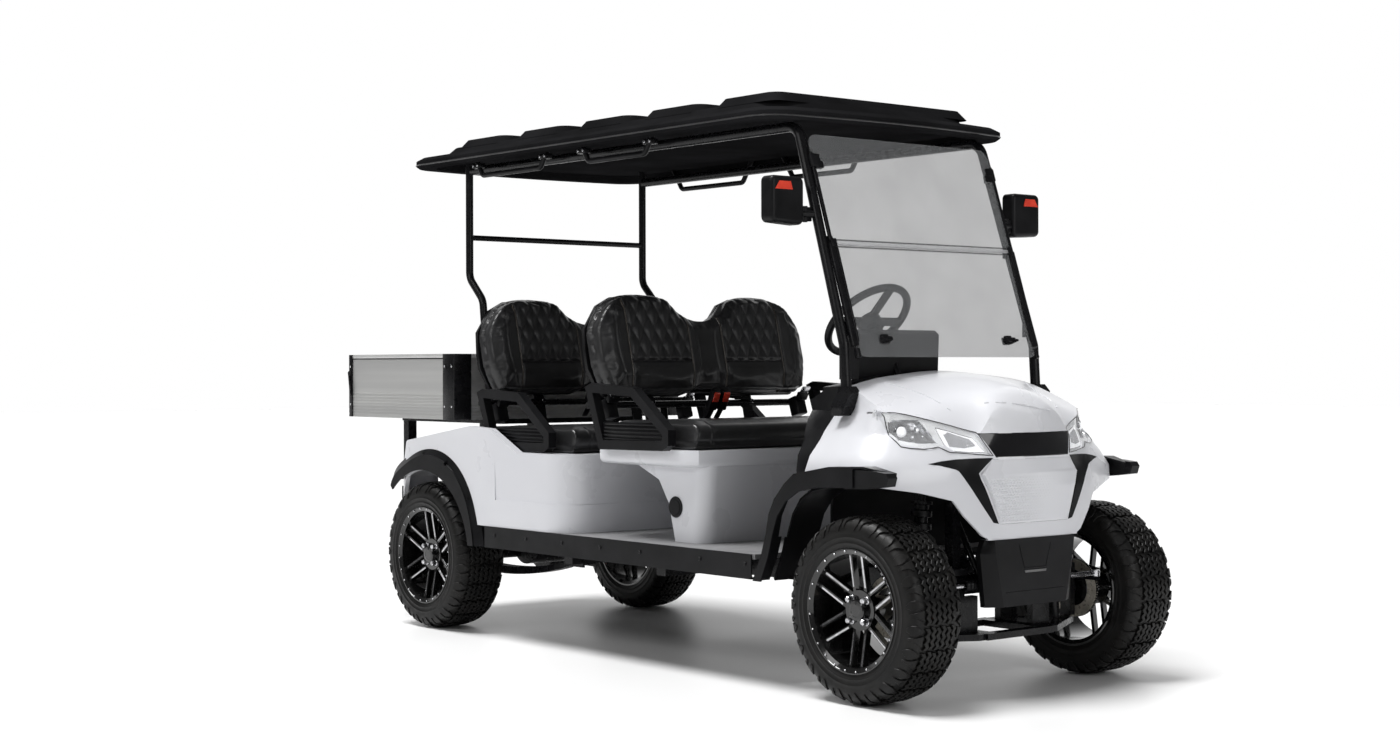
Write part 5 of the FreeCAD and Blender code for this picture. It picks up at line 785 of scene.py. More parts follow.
backSpec = {
    "halfWidth": 511, "height": 380, "thick": 78, "tilt": 13.6, "faceY": 1376, "low": 949,
    "outlineShares": [(0.0, 0.045), (0.10, 0.045), (0.2, 0.0), (0.86, 0.0), (0.93, 0.05), (0.985, 0.27),
                      (0.99, 0.46), (0.975, 0.66), (0.86, 0.88), (0.72, 0.975), (0.575, 0.995),
                      (0.40, 0.98), (0.29, 0.93), (0.2, 0.82), (0.1, 0.745), (0.0, 0.72)],
    "frontInset": 8, "rearInset": 2, "restDepth": 12, "fill": 0.8,
    "panelInner": 80, "panelOuter": 368, "bandTop": 115, "diamondWide": 53.4, "diamondTall": 115,
    "puff": 7.5, "puffPower": 0.55, "panelSink": 2.0, "bandPuff": 5.0, "bolsterPuff": 9.0,
    "saddleSink": 6.0, "seamDeep": 4.5, "seamWide": 4.5, "bandSeamWide": 5, "bandSeamShare": 1.3,
    "outerArc": {"from": 62, "middle": 190, "bow": 46, "deep": 2.6},
    "innerArc": {"from": 40, "middle": 150, "bow": 26, "deep": 2.2},
    "facingGain": 1.6, "facingStart": 0.35,
    "pipeTops": (335, 372), "pipeRadius": 3.6, "pipeSink": 0.6, "pipeSteps": 24,
    "voxel": 0.0075, "pressure": 4.0, "cap": 0.012,
}
cushionSpec = {
    "halfWidth": 510, "front": 864, "rear": 1390, "low": 750.5, "thick": 92, "round": 34, "inset": 6,
    "restHeight": 14, "seam": 418, "seamWide": 4.5, "seamDeep": 4.0,
    "weltHeight": 30, "weltWide": 3.5, "weltDeep": 2.0,
    "fill": 0.8, "voxel": 0.010, "pressure": 3.5, "cap": 0.011,
}
stuffing = {"smoothSteps": 6, "smoothShare": 0.5, "quality": 4, "frames": 20}


# Points on a closed smooth line through the given ones
def smoothLoop(points, between=6):
    count = len(points)
    result = []
    for index in range(count):
        p0, p1, p2, p3 = (np.array(points[(index + shift) % count], float) for shift in (-1, 0, 1, 2))
        for step in range(between):
            t = step / between
            result.append(0.5 * ((2 * p1) + (p2 - p0) * t + (2 * p0 - 5 * p1 + 4 * p2 - p3) * t * t
                                 + (3 * p1 - p0 - 3 * p2 + p3) * t ** 3))
    return result


def meshPoints(mesh):
    flat = np.empty(len(mesh.vertices) * 3)
    mesh.vertices.foreach_get("co", flat)
    return flat.reshape(-1, 3)


def meshNormals(mesh):
    flat = np.empty(len(mesh.vertices) * 3)
    mesh.vertex_normals.foreach_get("vector", flat)
    return flat.reshape(-1, 3)


def setPoints(mesh, points):
    mesh.vertices.foreach_set("co", points.reshape(-1))
    mesh.update()


def applyAll(piece):
    mesh = finalMesh(piece)
    piece.modifiers.clear()
    piece.data = mesh
    return mesh


# Cloth with pressure from inside; no point moves further than the cap
def blowUp(pad, spec, held):
    start = meshPoints(pad.data)
    group = pad.vertex_groups.new(name="held")
    group.add([int(index) for index in np.nonzero(held)[0]], 1.0, "REPLACE")
    cloth = pad.modifiers.new("cloth", "CLOTH")
    cloth.settings.quality = stuffing["quality"]
    cloth.settings.use_pressure = True
    cloth.settings.uniform_pressure_force = spec["pressure"]
    cloth.settings.vertex_group_mass = "held"
    cloth.settings.effector_weights.gravity = 0
    cloth.collision_settings.use_collision = False
    cloth.point_cache.frame_start = 1
    cloth.point_cache.frame_end = stuffing["frames"]
    for frameNumber in range(1, stuffing["frames"] + 1):
        bpy.context.scene.frame_set(frameNumber)
        bpy.context.view_layer.update()
    mesh = applyAll(pad)
    bpy.context.scene.frame_set(1)
    moved = meshPoints(mesh) - start
    size = np.linalg.norm(moved, axis=1)[:, None]
    moved *= np.minimum(1, spec["cap"] / np.maximum(size, 1e-9))
    setPoints(mesh, start + moved)


# Blows a closed form up as a stuffed pad; the side that rests on something is held
def stuffPad(name, mesh, spec, isHeld):
    pad = linked(name, mesh)
    remesh = pad.modifiers.new("remesh", "REMESH")
    remesh.mode = "VOXEL"
    remesh.voxel_size = spec["voxel"]
    smooth = pad.modifiers.new("smooth", "SMOOTH")
    smooth.iterations = stuffing["smoothSteps"]
    smooth.factor = stuffing["smoothShare"]
    held = isHeld(meshPoints(applyAll(pad)))
    blowUp(pad, spec, held)
    divide = pad.modifiers.new("divide", "SUBSURF")
    divide.levels = divide.render_levels = 1
    mesh = applyAll(pad)
    bpy.data.objects.remove(pad)
    return mesh


# Shares from 0 to 1: a plain ramp, a span with soft ends, and a narrow groove
def ramp(value, soft):
    return np.clip(value / soft, 0, 1)


def span(value, low, high, soft):
    return ramp(value - low, soft) * ramp(high - value, soft)


def groove(distance, width):
    return np.exp(-(distance / width) ** 2)


# The sewn face of a backrest, in millimetres on its own plane: across, up, and depth from the front
def sewBack(mesh):
    spec = backSpec
    points = meshPoints(mesh)
    facing = np.clip(-meshNormals(mesh)[:, 1] * spec["facingGain"] - spec["facingStart"], 0, 1)
    across, up = np.abs(points[:, 0]) / mm, points[:, 2] / mm
    inner, outer, band = spec["panelInner"], spec["panelOuter"], spec["bandTop"]
    panel = span(across, inner, outer, 8) * ramp(up - band, 8)
    u, v = (across - inner) / spec["diamondWide"], (up - band) / spec["diamondTall"]
    puff = (np.abs(np.sin(math.pi * (u + v)) * np.sin(math.pi * (u - v)))) ** spec["puffPower"]
    lift = panel * (puff * spec["puff"] - spec["panelSink"])
    lift += spec["bandPuff"] * (span(across, inner, outer, 26) * span(up, 6, band, 30)) * (1 - panel)
    lift += spec["bolsterPuff"] * (ramp(across - outer, 40) * ramp(spec["halfWidth"] - 1 - across, 60))
    lift -= spec["saddleSink"] * ramp(inner - across, 40)
    sideSeams = groove(across - inner, spec["seamWide"]) + groove(across - outer, spec["seamWide"])
    lift -= spec["seamDeep"] * sideSeams
    bandSeam = groove(up - band, spec["bandSeamWide"]) * span(across, inner, outer, 4)
    lift -= spec["seamDeep"] * spec["bandSeamShare"] * bandSeam
    bow = spec["outerArc"]
    arc = outer + bow["from"] - ((up - bow["middle"]) / bow["middle"]) ** 2 * bow["bow"]
    lift -= bow["deep"] * groove(across - arc, 4)
    bow = spec["innerArc"]
    arc = inner - bow["from"] + ((up - bow["middle"]) / bow["middle"]) ** 2 * bow["bow"]
    lift -= bow["deep"] * groove(across - arc, 4) * ramp(up - 20, 30)
    points[:, 1] -= lift * facing * mm
    setPoints(mesh, points)


def backFrame(shift):
    spec = backSpec
    return Matrix.Translation(onCart(0, spec["faceY"] + shift, spec["low"])) @ tilt(-spec["tilt"]).to_4x4()


# Piping follows the panel's two side seams, on the sewn face
def backPiping(stuffed):
    spec = backSpec
    surface = BVHTree.FromPolygons([point.co.copy() for point in stuffed.vertices],
                                   [tuple(face.vertices) for face in stuffed.polygons])
    pipes = []
    for side in (-1, 1):
        for across, top in zip((spec["panelInner"], spec["panelOuter"]), spec["pipeTops"]):
            line = []
            for step in range(spec["pipeSteps"] + 1):
                up = 4 + (top + 20) * step / spec["pipeSteps"]
                hit = surface.ray_cast(Vector((side * across * mm, -0.3, up * mm)), Vector((0, 1, 0)))[0]
                if hit is not None:
                    line.append(hit - Vector((0, spec["pipeSink"] * mm, 0)))
            pipes.append(tubeMesh("pipe", line, spec["pipeRadius"] * mm, smooth=True))
    return joinMeshes("piping", pipes)


def buildBackrests():
    spec = backSpec
    half = [(across * spec["halfWidth"] * mm, up * spec["height"] * mm) for across,
            up in spec["outlineShares"]]
    outline = smoothLoop(half + [(-across, up) for across, up in half[-2:0:-1]], 5)
    thick = spec["thick"] * mm
    plate = plateMesh("backForm", outline, spec["frontInset"] * mm, thick - spec["rearInset"] * mm)
    rest = thick - spec["restDepth"] * mm
    stuffed = stuffPad("backForm", plate, spec, lambda points: points[:, 1] > rest)
    sewBack(stuffed)
    piping = backPiping(stuffed)
    for name, shift in (("front", 0), ("rear", cartSpec["seatPitch"])):
        mesh = stuffed.copy()
        mesh.transform(backFrame(shift))
        pad = addPiece(f"{name}_quilted_back", mesh, "seatHide", angle=60, weld=False)
        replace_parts(pad, f"{name}_backrest")
        mesh = piping.copy()
        mesh.transform(backFrame(shift))
        addPiece(f"{name}_back_piping", mesh, "seatPiping")


# The cushion's side outline, swept across the cart
def cushionForm():
    spec = cushionSpec
    front, rear, low, high = spec["front"], spec["rear"], spec["low"], spec["low"] + spec["thick"]
    turn = spec["round"]
    side = [(front + 14, low), (front + 2, low + 0.45 * spec["thick"])]
    for step in range(6):
        angle = math.pi / 2 * step / 5
        side.append((front + turn - turn * math.cos(angle), high - turn + turn * math.sin(angle)))
    side += [(rear - 20, high - 8), (rear - 4, high - 20), (rear, low + 10), (rear, low)]
    outline = [((y * mm) + axleToMiddle, z * mm) for y, z in side]
    reach = spec["halfWidth"] * mm - spec["inset"] * mm
    plate = plateMesh("cushionForm", outline, -reach, reach)
    plate.transform(Matrix(((0, 1, 0, 0), (1, 0, 0, 0), (0, 0, 1, 0), (0, 0, 0, 1))))
    return outward(plate)


def buildCushions():
    spec = cushionSpec
    low = spec["low"]
    rest = (low + spec["restHeight"]) * mm
    stuffed = stuffPad("cushionForm", cushionForm(), spec, lambda points: points[:, 2] < rest)
    points, normals = meshPoints(stuffed), meshNormals(stuffed)
    across, up = np.abs(points[:, 0]) / mm, points[:, 2] / mm
    depth = groove(across - spec["seam"], spec["seamWide"]) * spec["seamDeep"] * ramp(up - low - 8, 10)
    outer = np.clip(-normals[:, 1] + np.abs(normals[:, 0]), 0, 1)
    depth = depth + groove(up - (low + spec["weltHeight"]), spec["weltWide"]) * spec["weltDeep"] * outer
    points -= normals * (depth * mm)[:, None]
    points[:, 2] = np.maximum(points[:, 2], (low - 0.2) * mm)
    setPoints(stuffed, points)
    for name, shift, drop in (("front", 0, 0), ("rear", cartSpec["seatPitch"], cartSpec["seatDrop"])):
        mesh = stuffed.copy()
        mesh.transform(Matrix.Translation((0, shift * mm, -drop * mm)))
        pad = addPiece(f"{name}_bench_cushion", mesh, "seatHide", angle=60, weld=False)
        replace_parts(pad, f"{name}_seat_cushion")


buildBackrests()
buildCushions()
print("seats done")


# Thin pieces that lie on the cart's skin, drawn as seen from ahead, in millimetres

layingSpec = {"start": -900, "probe": 3, "gridClear": 0.45}


def skinOf(*names):
    points, faces = [], []
    for name in names:
        base = len(points)
        points += [point.co.copy() for point in nodes[name].data.vertices]
        faces += [tuple(base + index for index in face.vertices) for face in nodes[name].data.polygons]
    return BVHTree.FromPolygons(points, faces)


# The middle one of five probes, so that a gap between two pieces does no harm
def depthOn(skin, a, b):
    probe = layingSpec["probe"]
    found = []
    for da, db in ((0, 0), (probe, 0), (-probe, 0), (0, probe), (0, -probe)):
        hit = skin.ray_cast(onCart(a + da, layingSpec["start"], b + db), Vector((0, 1, 0)))[0]
        if hit is not None:
            found.append(hit[1])
    return sorted(found)[len(found) // 2] if found else None


def isInside(places, loop):
    inside = np.zeros(len(places), bool)
    a, b = places[:, 0], places[:, 1]
    for (a0, b0), (a1, b1) in zip(loop, loop[1:] + loop[:1]):
        if b0 != b1:
            inside ^= ((b0 > b) != (b1 > b)) & (a < a0 + (b - b0) / (b1 - b0) * (a1 - a0))
    return inside


def borderDistance(places, loops):
    nearest = np.full(len(places), 1e9)
    for loop in loops:
        for first, last in zip(loop, loop[1:] + loop[:1]):
            first, last = np.array(first, float), np.array(last, float)
            way = last - first
            share = np.clip(((places - first) @ way) / max(way @ way, 1e-9), 0, 1)
            nearest = np.minimum(nearest, np.linalg.norm(places - first - share[:, None] * way, axis=1))
    return nearest


def finerLoop(loop, step, closed=True):
    result = []
    for first, last in zip(loop, loop[1:] + loop[:1] if closed else loop[1:]):
        count = max(1, round(math.dist(first, last) / step))
        result += [(first[0] + (last[0] - first[0]) * part / count,
                    first[1] + (last[1] - first[1]) * part / count) for part in range(count)]
    return result if closed else result + [loop[-1]]


def grownLoop(loop, reach):
    turn = sum(a0 * b1 - a1 * b0 for (a0, b0), (a1, b1) in zip(loop, loop[1:] + loop[:1]))
    sign = 1 if turn > 0 else -1
    result = []
    for before, here, after in zip(loop[-1:] + loop[:-1], loop, loop[1:] + loop[:1]):
        first = Vector((here[0] - before[0], here[1] - before[1])).normalized()
        last = Vector((after[0] - here[0], after[1] - here[1])).normalized()
        outwards = Vector((first.y + last.y, -first.x - last.x)) * sign
        tight = max(0.5, 1 + first.dot(last))
        result.append((here[0] + outwards.x * reach / tight, here[1] + outwards.y * reach / tight))
    return result


# Triangles between an outline and its holes, with a grid of points inside
def flatTriangles(loops, step):
    corners, edges = [], []
    for loop in loops:
        base = len(corners)
        corners += loop
        edges += [(base + index, base + (index + 1) % len(loop)) for index in range(len(loop))]
    low, high = np.min(loops[0], axis=0), np.max(loops[0], axis=0)
    grid = np.array([(a, b) for a in np.arange(low[0] + step / 2, high[0], step)
                     for b in np.arange(low[1] + step / 2, high[1], step)]).reshape(-1, 2)
    if len(grid):
        keep = isInside(grid, loops[0]) & (borderDistance(grid, loops) > layingSpec["gridClear"] * step)
        for loop in loops[1:]:
            keep &= ~isInside(grid, loop)
        corners += [tuple(place) for place in grid[keep]]
    flat, _, triangles, *_ = delaunay_2d_cdt([Vector(place) for place in corners], edges, [], 0, 1e-4)
    centres = np.array([(flat[a] + flat[b] + flat[c]) / 3 for a, b, c in triangles])
    wanted = isInside(centres, loops[0])
    for loop in loops[1:]:
        wanted &= ~isInside(centres, loop)
    return np.array([tuple(place) for place in flat]), [tuple(face) for face,
                                                        good in zip(triangles, wanted) if good]


# A thin skin laid on the cart: lift is a height in millimetres or a function that gives one
def laidMesh(name, skin, outline, lift, thick, step=12, holes=()):
    loops = [finerLoop(loop, step) for loop in (outline, *holes)]
    places, triangles = flatTriangles(loops, step)
    raised = lift(places,
                  borderDistance(places, loops)) if callable(lift) else np.full(len(places), float(lift))
    depths = [depthOn(skin, a, b) for a, b in places]
    known = [index for index, depth in enumerate(depths) if depth is not None]
    for index, depth in enumerate(depths):
        if depth is None:
            nearest = min(known, key=lambda other: np.sum((places[other] - places[index]) ** 2))
            depths[index] = depths[nearest]
    points = []
    for layer in (0, thick):
        for (a, b), depth, rise in zip(places, depths, raised):
            points.append((a * mm, depth - (rise - layer) * mm, b * mm))
    count = len(places)
    faces = triangles + [tuple(count + index for index in reversed(face)) for face in triangles]
    sides = dict.fromkeys(pair for face in triangles for pair in zip(face, face[1:] + face[:1]))
    faces += [(last, first, count + first, count + last) for first,
              last in sides if (last, first) not in sides]
    return dropLoose(newMesh(name, points, faces))


def tracedTube(name, skin, loop, lift, radius, step=14, closed=True):
    places = finerLoop(loop, step, closed)
    line = []
    for a, b in places + (places[:1] if closed else []):
        depth = depthOn(skin, a, b)
        if depth is not None:
            line.append((a * mm, depth - lift * mm, b * mm))
    return tubeMesh(name, line, radius * mm)


# Nose: headlamps behind clear lenses, the black inserts and the scaled lower panel

lampSpec = {
    "seal": [(454, 893), (433, 893), (406, 887), (361, 873), (283, 852), (214, 830), (201, 797),
             (180, 758), (255, 765), (318, 771), (346, 787), (369, 783), (391, 781), (428, 784),
             (450, 789), (457, 822), (456, 855)],
    "glass": [(463, 895), (452, 799), (373, 779), (325, 791), (291, 767), (185, 758), (219, 830),
              (373, 881)],
    "bowl": [(444, 862), (432, 869), (372, 868), (352, 836), (340, 798), (385, 799), (416, 802),
             (438, 808), (447, 830)],
    "marker": [(326, 843), (280, 829), (227, 812), (213, 785), (200, 768), (263, 771), (314, 776),
               (320, 808)],
    "markerShade": [(312, 826), (298, 831), (236, 809), (226, 788), (262, 782), (306, 787)],
    # Piece: outline and how far it grows, lift, thickness, step, holes, finish
    "layers": {
        # The bezels take the white finish that carries a painted glow
        "lamp_bezels": ("glass", 5, -9.5, 2, 14, (("bowl", 0), ("marker", 2.5)), "lampWhite"),
        "lamp_surrounds": ("glass", 1.5, 0.9, 1.2, 12, (("seal", 0.5),), "pearlWhite"),
        "lamp_marker_wells": ("marker", 6, -12, 2, 14, (), "pianoBlack"),
        "lamp_markers": ("marker", 0, -8, 3.5, 14, (), "lampGlow"),
        "lamp_marker_shades": ("markerShade", 0, -7.1, 1, 14, (), "lampSmoke"),
    },
    "bowlNear": 9.5, "bowlDepth": 30, "bowlShare": 0.86, "bowlWall": 0.04, "bowlRim": 1.05,
    "projector": (418, -30, 833), "projectorRadius": 17, "projectorAim": (-0.35, -1, 0.02),
    "rimGap": 0.5, "rimWide": 6, "rimDepth": 10, "rimSteps": 40,
    "reflector": (382, -62, 838), "facets": ((0, 0, 0.017), (-14, -20, 0.013), (16, -18, 0.010)),
    "sealLift": 1.3, "sealRadius": 1.5,
}
insertSpec = {
    "outline": [(398, 736), (354, 744), (305, 749), (242, 751), (180, 751), (205, 727), (230, 704),
                (214, 653), (190, 600), (164, 546), (185, 550), (218, 593), (249, 636), (287, 690),
                (305, 713), (322, 722), (360, 730)],
    "lift": 1.2, "thick": 1.8, "step": 10,
}
noseSpec = {
    "outline": [(-181, 746), (181, 746), (222, 700), (155, 545), (-155, 545), (-222, 700)],
    "top": 746, "foldHeight": 701, "foot": 545, "topLift": 1.0, "foldLift": 12.0, "lowLift": 2.0,
    "edgeLift": 0.6, "edgeWide": 4, "scaleWide": 12.5, "scaleTall": 9.0, "scaleHigh": 3.2,
    "fadeStart": 90, "fadeLength": 220, "foldClear": 8, "foldFade": 12, "step": 2.6, "thick": 0.5,
    "leastWall": 0.4,
}


def rightSide(loop):
    return [(-a, b) for a, b in loop]


# Fish scales stand out of the lower panel and fade towards its left end
def noseLift(places, border):
    spec = noseSpec
    across, up = places[:, 0], places[:, 1]
    fold, foldLift = spec["foldHeight"], spec["foldLift"]
    over = np.clip((spec["top"] - up) / (spec["top"] - fold), 0, 1)
    under = np.clip((up - spec["foot"]) / (fold - spec["foot"]), 0, 1)
    upper = spec["topLift"] + (foldLift - spec["topLift"]) * over
    lower = spec["lowLift"] + (foldLift - spec["lowLift"]) * under
    shape = np.where(up > fold, upper, lower)
    row = up / spec["scaleTall"]
    cell = np.mod(across / spec["scaleWide"] + 0.5 * np.mod(np.floor(row), 2), 1)
    scale = np.clip(1.2 - (2 * cell - 1) ** 2 - np.mod(row, 1) ** 2, 0, 1)
    fade = (np.clip((spec["fadeStart"] - across) / spec["fadeLength"], 0, 1)
            * np.clip((fold - spec["foldClear"] - up) / spec["foldFade"], 0, 1))
    shape = shape + spec["scaleHigh"] * scale * fade
    return spec["edgeLift"] + (shape - spec["edgeLift"]) * np.clip(border / spec["edgeWide"], 0, 1)


# An open tray: its rim follows a loop on the skin, and its floor is the same loop further back and smaller
def trayMesh(name, skin, loop):
    spec = lampSpec
    near, deep, share = spec["bowlNear"], spec["bowlDepth"], spec["bowlShare"]
    loop = finerLoop(loop, 16)
    centre = np.mean(loop, axis=0)
    rings = []
    for grow, depth in ((1.0, near), (share, deep), (share + spec["bowlWall"], deep + 2),
                        (spec["bowlRim"], near)):
        ring = []
        for a, b in loop:
            a, b = centre + (np.array((a, b)) - centre) * grow
            ring.append((a * mm, depthOn(skin, a, b) + depth * mm, b * mm))
        rings.append(ring)
    count = len(loop)
    points = [point for ring in rings for point in ring]
    faces = []
    for index in range(count):
        after = (index + 1) % count
        for first, last in ((0, 1), (3, 0), (2, 3)):
            faces.append((first * count + index, last * count + index, last * count + after,
                          first * count + after))
    for ring in (1, 2):
        points.append(tuple(np.mean(rings[ring], axis=0)))
        hub = len(points) - 1
        for index in range(count):
            after = (index + 1) % count
            faces.append((hub, ring * count + index, ring * count + after))
    return newMesh(name, points, faces)


def buildLamps(skin):
    spec = lampSpec
    for name, (outline, grow, lift, thick, step, holes, look) in spec["layers"].items():
        cuts = [grownLoop(rightSide(spec[key]), reach) for key, reach in holes]
        outline = grownLoop(rightSide(spec[outline]), grow)
        addBoth(name, laidMesh(name, skin, outline, lift, thick, step, cuts), look)
    addBoth("lamp_bowls", trayMesh("bowl", skin, rightSide(spec["bowl"])), "lampChrome")
    x, y, z = spec["projector"]
    place, aim = onCart(-x, y, z), Vector(spec["projectorAim"])
    addBoth("lamp_projectors", domeMesh("projector", place, aim, spec["projectorRadius"] * mm), "lampGlow")
    inner, outer = (spec["projectorRadius"] + spec[key] for key in ("rimGap", "rimWide"))
    back = place - aim.normalized() * 0.006
    rim = ringMesh("rim", back, aim, inner * mm, outer * mm, spec["rimDepth"] * mm, spec["rimSteps"])
    addBoth("lamp_projector_rims", rim, "lampChrome")
    x, y, z = spec["reflector"]
    facets = []
    for number, (dx, dz, wide) in enumerate(spec["facets"]):
        turn = (Matrix.Rotation(math.radians(20 + 14 * number), 3, "Y")
                @ Matrix.Rotation(math.radians(-30), 3, "Z"))
        facets.append(blockMesh("facet", onCart(-x + dx, y - dx * 0.5, z + dz), (wide, 0.008, wide),
                                0.002, turn))
    addBoth("lamp_facets", joinMeshes("facets", facets), "lampChrome")
    seal = tracedTube("seal", skin, rightSide(spec["seal"]), spec["sealLift"], spec["sealRadius"])
    addBoth("lamp_seals", seal, "pianoBlack")


def buildNose():
    skin = skinOf("front_cowl", "headlamps", "nose_panel", "grille_band", "fascia_inserts")
    buildLamps(skin)
    spec = insertSpec
    insert = laidMesh("insert", skin, rightSide(spec["outline"]), spec["lift"], spec["thick"], spec["step"])
    addBoth("fascia_blades", insert, "mouldedBlack")
    spec = noseSpec
    face = laidMesh("noseFace", skinOf("nose_panel"), spec["outline"], noseLift, spec["thick"],
                    spec["step"])
    points = meshPoints(face)
    half = len(points) // 2
    points[half:, 1] = np.maximum(points[half:, 1], points[:half, 1] + spec["leastWall"] * mm)
    setPoints(face, points)
    addPiece("scaled_nose_face", face, "pearlWhite", angle=20)


# A cap closes the front flare's end: its outline seen from the side, and how far out it reaches
flareSpec = {"outer": 592, "inner": 553,
             "loop": [(40, 721), (-80, 720), (-140, 714), (-150, 700), (-141, 674), (-60, 664), (40, 660)]}


def buildFlareCaps():
    loop = flareSpec["loop"]
    points = [onCart(x, y, z) for x in (-flareSpec["outer"], -flareSpec["inner"]) for y, z in loop]
    addBoth("flare_caps", newMesh("cap", points, prismFaces(len(loop))), "mouldedBlack")


# Creases of the hood, as places along each line
creaseSpec = {
    "side": [(-331, 132, 983), (-296, 73, 967), (-269, 11, 946), (-266, -33, 927), (-251, -83, 896)],
    "front": [(-149, -128, 920), (-104, -154, 922), (-23, -166, 916), (61, -175, 902), (112, -172, 895)],
    "radius": 2.4, "parts": 12,
}


def buildCreases():
    skin = skinOf("front_cowl")
    tubes = []
    for places in (creaseSpec["side"], creaseSpec["front"]):
        line = []
        for first, last in zip(places, places[1:]):
            for part in range(creaseSpec["parts"]):
                share = part / creaseSpec["parts"]
                middle = [first[axis] + (last[axis] - first[axis]) * share for axis in range(3)]
                line.append(skin.find_nearest(onCart(*middle))[0])
        tubes.append(tubeMesh("crease", line, creaseSpec["radius"] * mm))
    addBoth("hood_creases", tubes[0], "pearlWhite")
    addPiece("hood_crease_front", tubes[1], "pearlWhite")


bumperSpec = {
    "recess": [(-74, 476), (-50, 402), (50, 402), (74, 476)], "recessRadius": 1.6,
    "lip": [(-134, 330), (134, 330)], "lipRadius": 1.4, "lift": 0.2, "step": 20,
    "slot": [(-48, 387.5), (48, 387.5), (51, 394.5), (-51, 394.5)], "slotLift": 2.4, "slotThick": 3,
}


def buildBumperTrim():
    spec = bumperSpec
    skin = skinOf("front_bumper")
    ridges = [tracedTube(kind, skin, spec[kind], spec["lift"], spec[kind + "Radius"], spec["step"],
                         closed=False)
              for kind in ("recess", "lip")]
    addPiece("bumper_ridges", joinMeshes("ridges", ridges), "mouldedBlack")
    slot = laidMesh("slot", skin, spec["slot"], spec["slotLift"], spec["slotThick"])
    addPiece("bumper_slot", slot, "greyPlastic")


# Screen: channels beside the panes, the folding joint, latches and clips

screenSpec = {
    "bendY": 192, "bendZ": 1105, "slope": 0.32659, "lead": 24, "half": 424, "fold": 1432, "low": 1066,
    "high": 1792, "footRise": 34, "topShift": 50, "topClear": 70, "bevel": 2.0,
    # Blocks: place across, height, size, how far ahead of the pane, bevel
    "clips": [(-415, 1704, (40, 14, 46), 0, 3), (-404, 1690, (34, 18, 24), 0, 3),
              (-418, 1432, (24, 17, 30), 0, 3)],
    "latches": [(-292, 1120, (44, 22, 15), 12, 3), (-292, 1122, (30, 12, 30), 7, 3),
                (-306, 1114, (14, 30, 8), 20, 2), (-292, 1122, (30, 8, 26), -6, 2)],
}


def screenBlock(x, z, size, ahead=0.0, bevel=screenSpec["bevel"]):
    spec = screenSpec
    lean = math.atan(spec["slope"])
    y = spec["bendY"] + spec["slope"] * (z - spec["bendZ"]) - spec["lead"]
    place = onCart(x, y - ahead * math.cos(lean), z + ahead * math.sin(lean))
    turn = Matrix.Rotation(-lean, 3, "X")
    return blockMesh("screenBlock", place, [part * mm for part in size], bevel * mm, turn)


def screenBlocks(name, rows):
    return joinMeshes(name, [screenBlock(*row) for row in rows])


def buildScreenTrim():
    spec = screenSpec
    slant = math.hypot(1, spec["slope"])
    half, fold, low, high, foot = (spec[key] for key in ("half", "fold", "low", "high", "footRise"))
    lowerLength, upperLength = (fold - low - foot) * slant, (high - fold - spec["topClear"]) * slant
    middleLow, middleHigh = (fold + low + foot) / 2, (fold + high - spec["topShift"]) / 2
    channels = ((-half, middleLow, (26, 13, lowerLength)),
                (13 - half, middleLow, (9, 7, lowerLength - 30), 5.5),
                (-2 - half, middleHigh, (13, 9, upperLength)),
                (3 - half, low + 12, (15, 18, 34), 0, 3))
    addBoth("screen_channels", screenBlocks("channels", channels), "powderBlack")
    addBoth("screen_clips", screenBlocks("clips", spec["clips"]), "mouldedBlack")
    addBoth("screen_latches", screenBlocks("latches", spec["latches"]), "mouldedBlack")
    seams = [(0, fold + rise, (2 * half - 20, 7.5, 3), 0, 0.6) for rise in (11, -11)]
    addPiece("screen_fold_edges", screenBlocks("seams", seams), "screenSeam")
    addPiece("screen_fold_strip", screenBlock(0, fold, (2 * half - 24, 9, 11), 0, 1.5), "screenStrip")


mirrorSpec = {
    "reflector": [(-622, 1600), (-604, 1626), (-556, 1626), (-548, 1600)], "lift": 2.0, "thick": 2.4,
    "lug": (-474, 342), "lugHeights": (1510, 1542), "lugSize": (0.040, 0.016, 0.014), "lugBevel": 0.003,
    "pin": (-478, 342, 1500), "pinSizes": (0.009, 0.052, 20, 0.002),  # radius, length, sides, bevel
}


def buildMirrorTrim():
    spec = mirrorSpec
    reflector = laidMesh("reflector", skinOf("mirrors"), spec["reflector"], spec["lift"], spec["thick"])
    addBoth("mirror_reflectors", reflector, "signalRed")
    lugs = [blockMesh("lug", onCart(*spec["lug"], z), spec["lugSize"], spec["lugBevel"])
            for z in spec["lugHeights"]]
    lugs.append(discMesh("pin", onCart(*spec["pin"]), (0, 0, 1), *spec["pinSizes"]))
    addBoth("mirror_hinges", joinMeshes("lugs", lugs), "mouldedBlack")


# Belts: buckles between the seats, boxes with their latches beside them

beltSpec = {
    "headHeight": 912, "headY": 1352, "boxPlane": 462, "boxY": 1418, "boxHeight": 882,
    # Seat shift: where its heads lie, how much they are raised, how much the boxes are lowered
    "rows": {0: ((-24, 24), 0, 0), 710: ((-64, -20), 26, 24)},
    # Part: size in metres, bevel, tilt in degrees
    "head": ((0.038, 0.026, 0.078), 0.005, 24), "button": ((0.028, 0.010, 0.038), 0.003, 24),
    "stalk": ((0.024, 0.005, 0.090), 0.001, 38), "box": ((0.052, 0.046, 0.074), 0.006, -18),
    "guide": ((0.046, 0.020, 0.030), 0.004, 30), "tongue": ((0.040, 0.007, 0.036), 0.003, 40),
    "buttonPlace": (0, -0.012, 0.017), "stalkDrop": (32, -62), "stalkPull": 0.9,
    "guideRise": (-26, 40), "tongueRise": (-42, 62),
}


def beltPart(kind, place):
    size, bevel, degrees = beltSpec[kind]
    return blockMesh(kind, place, size, bevel, tilt(degrees))


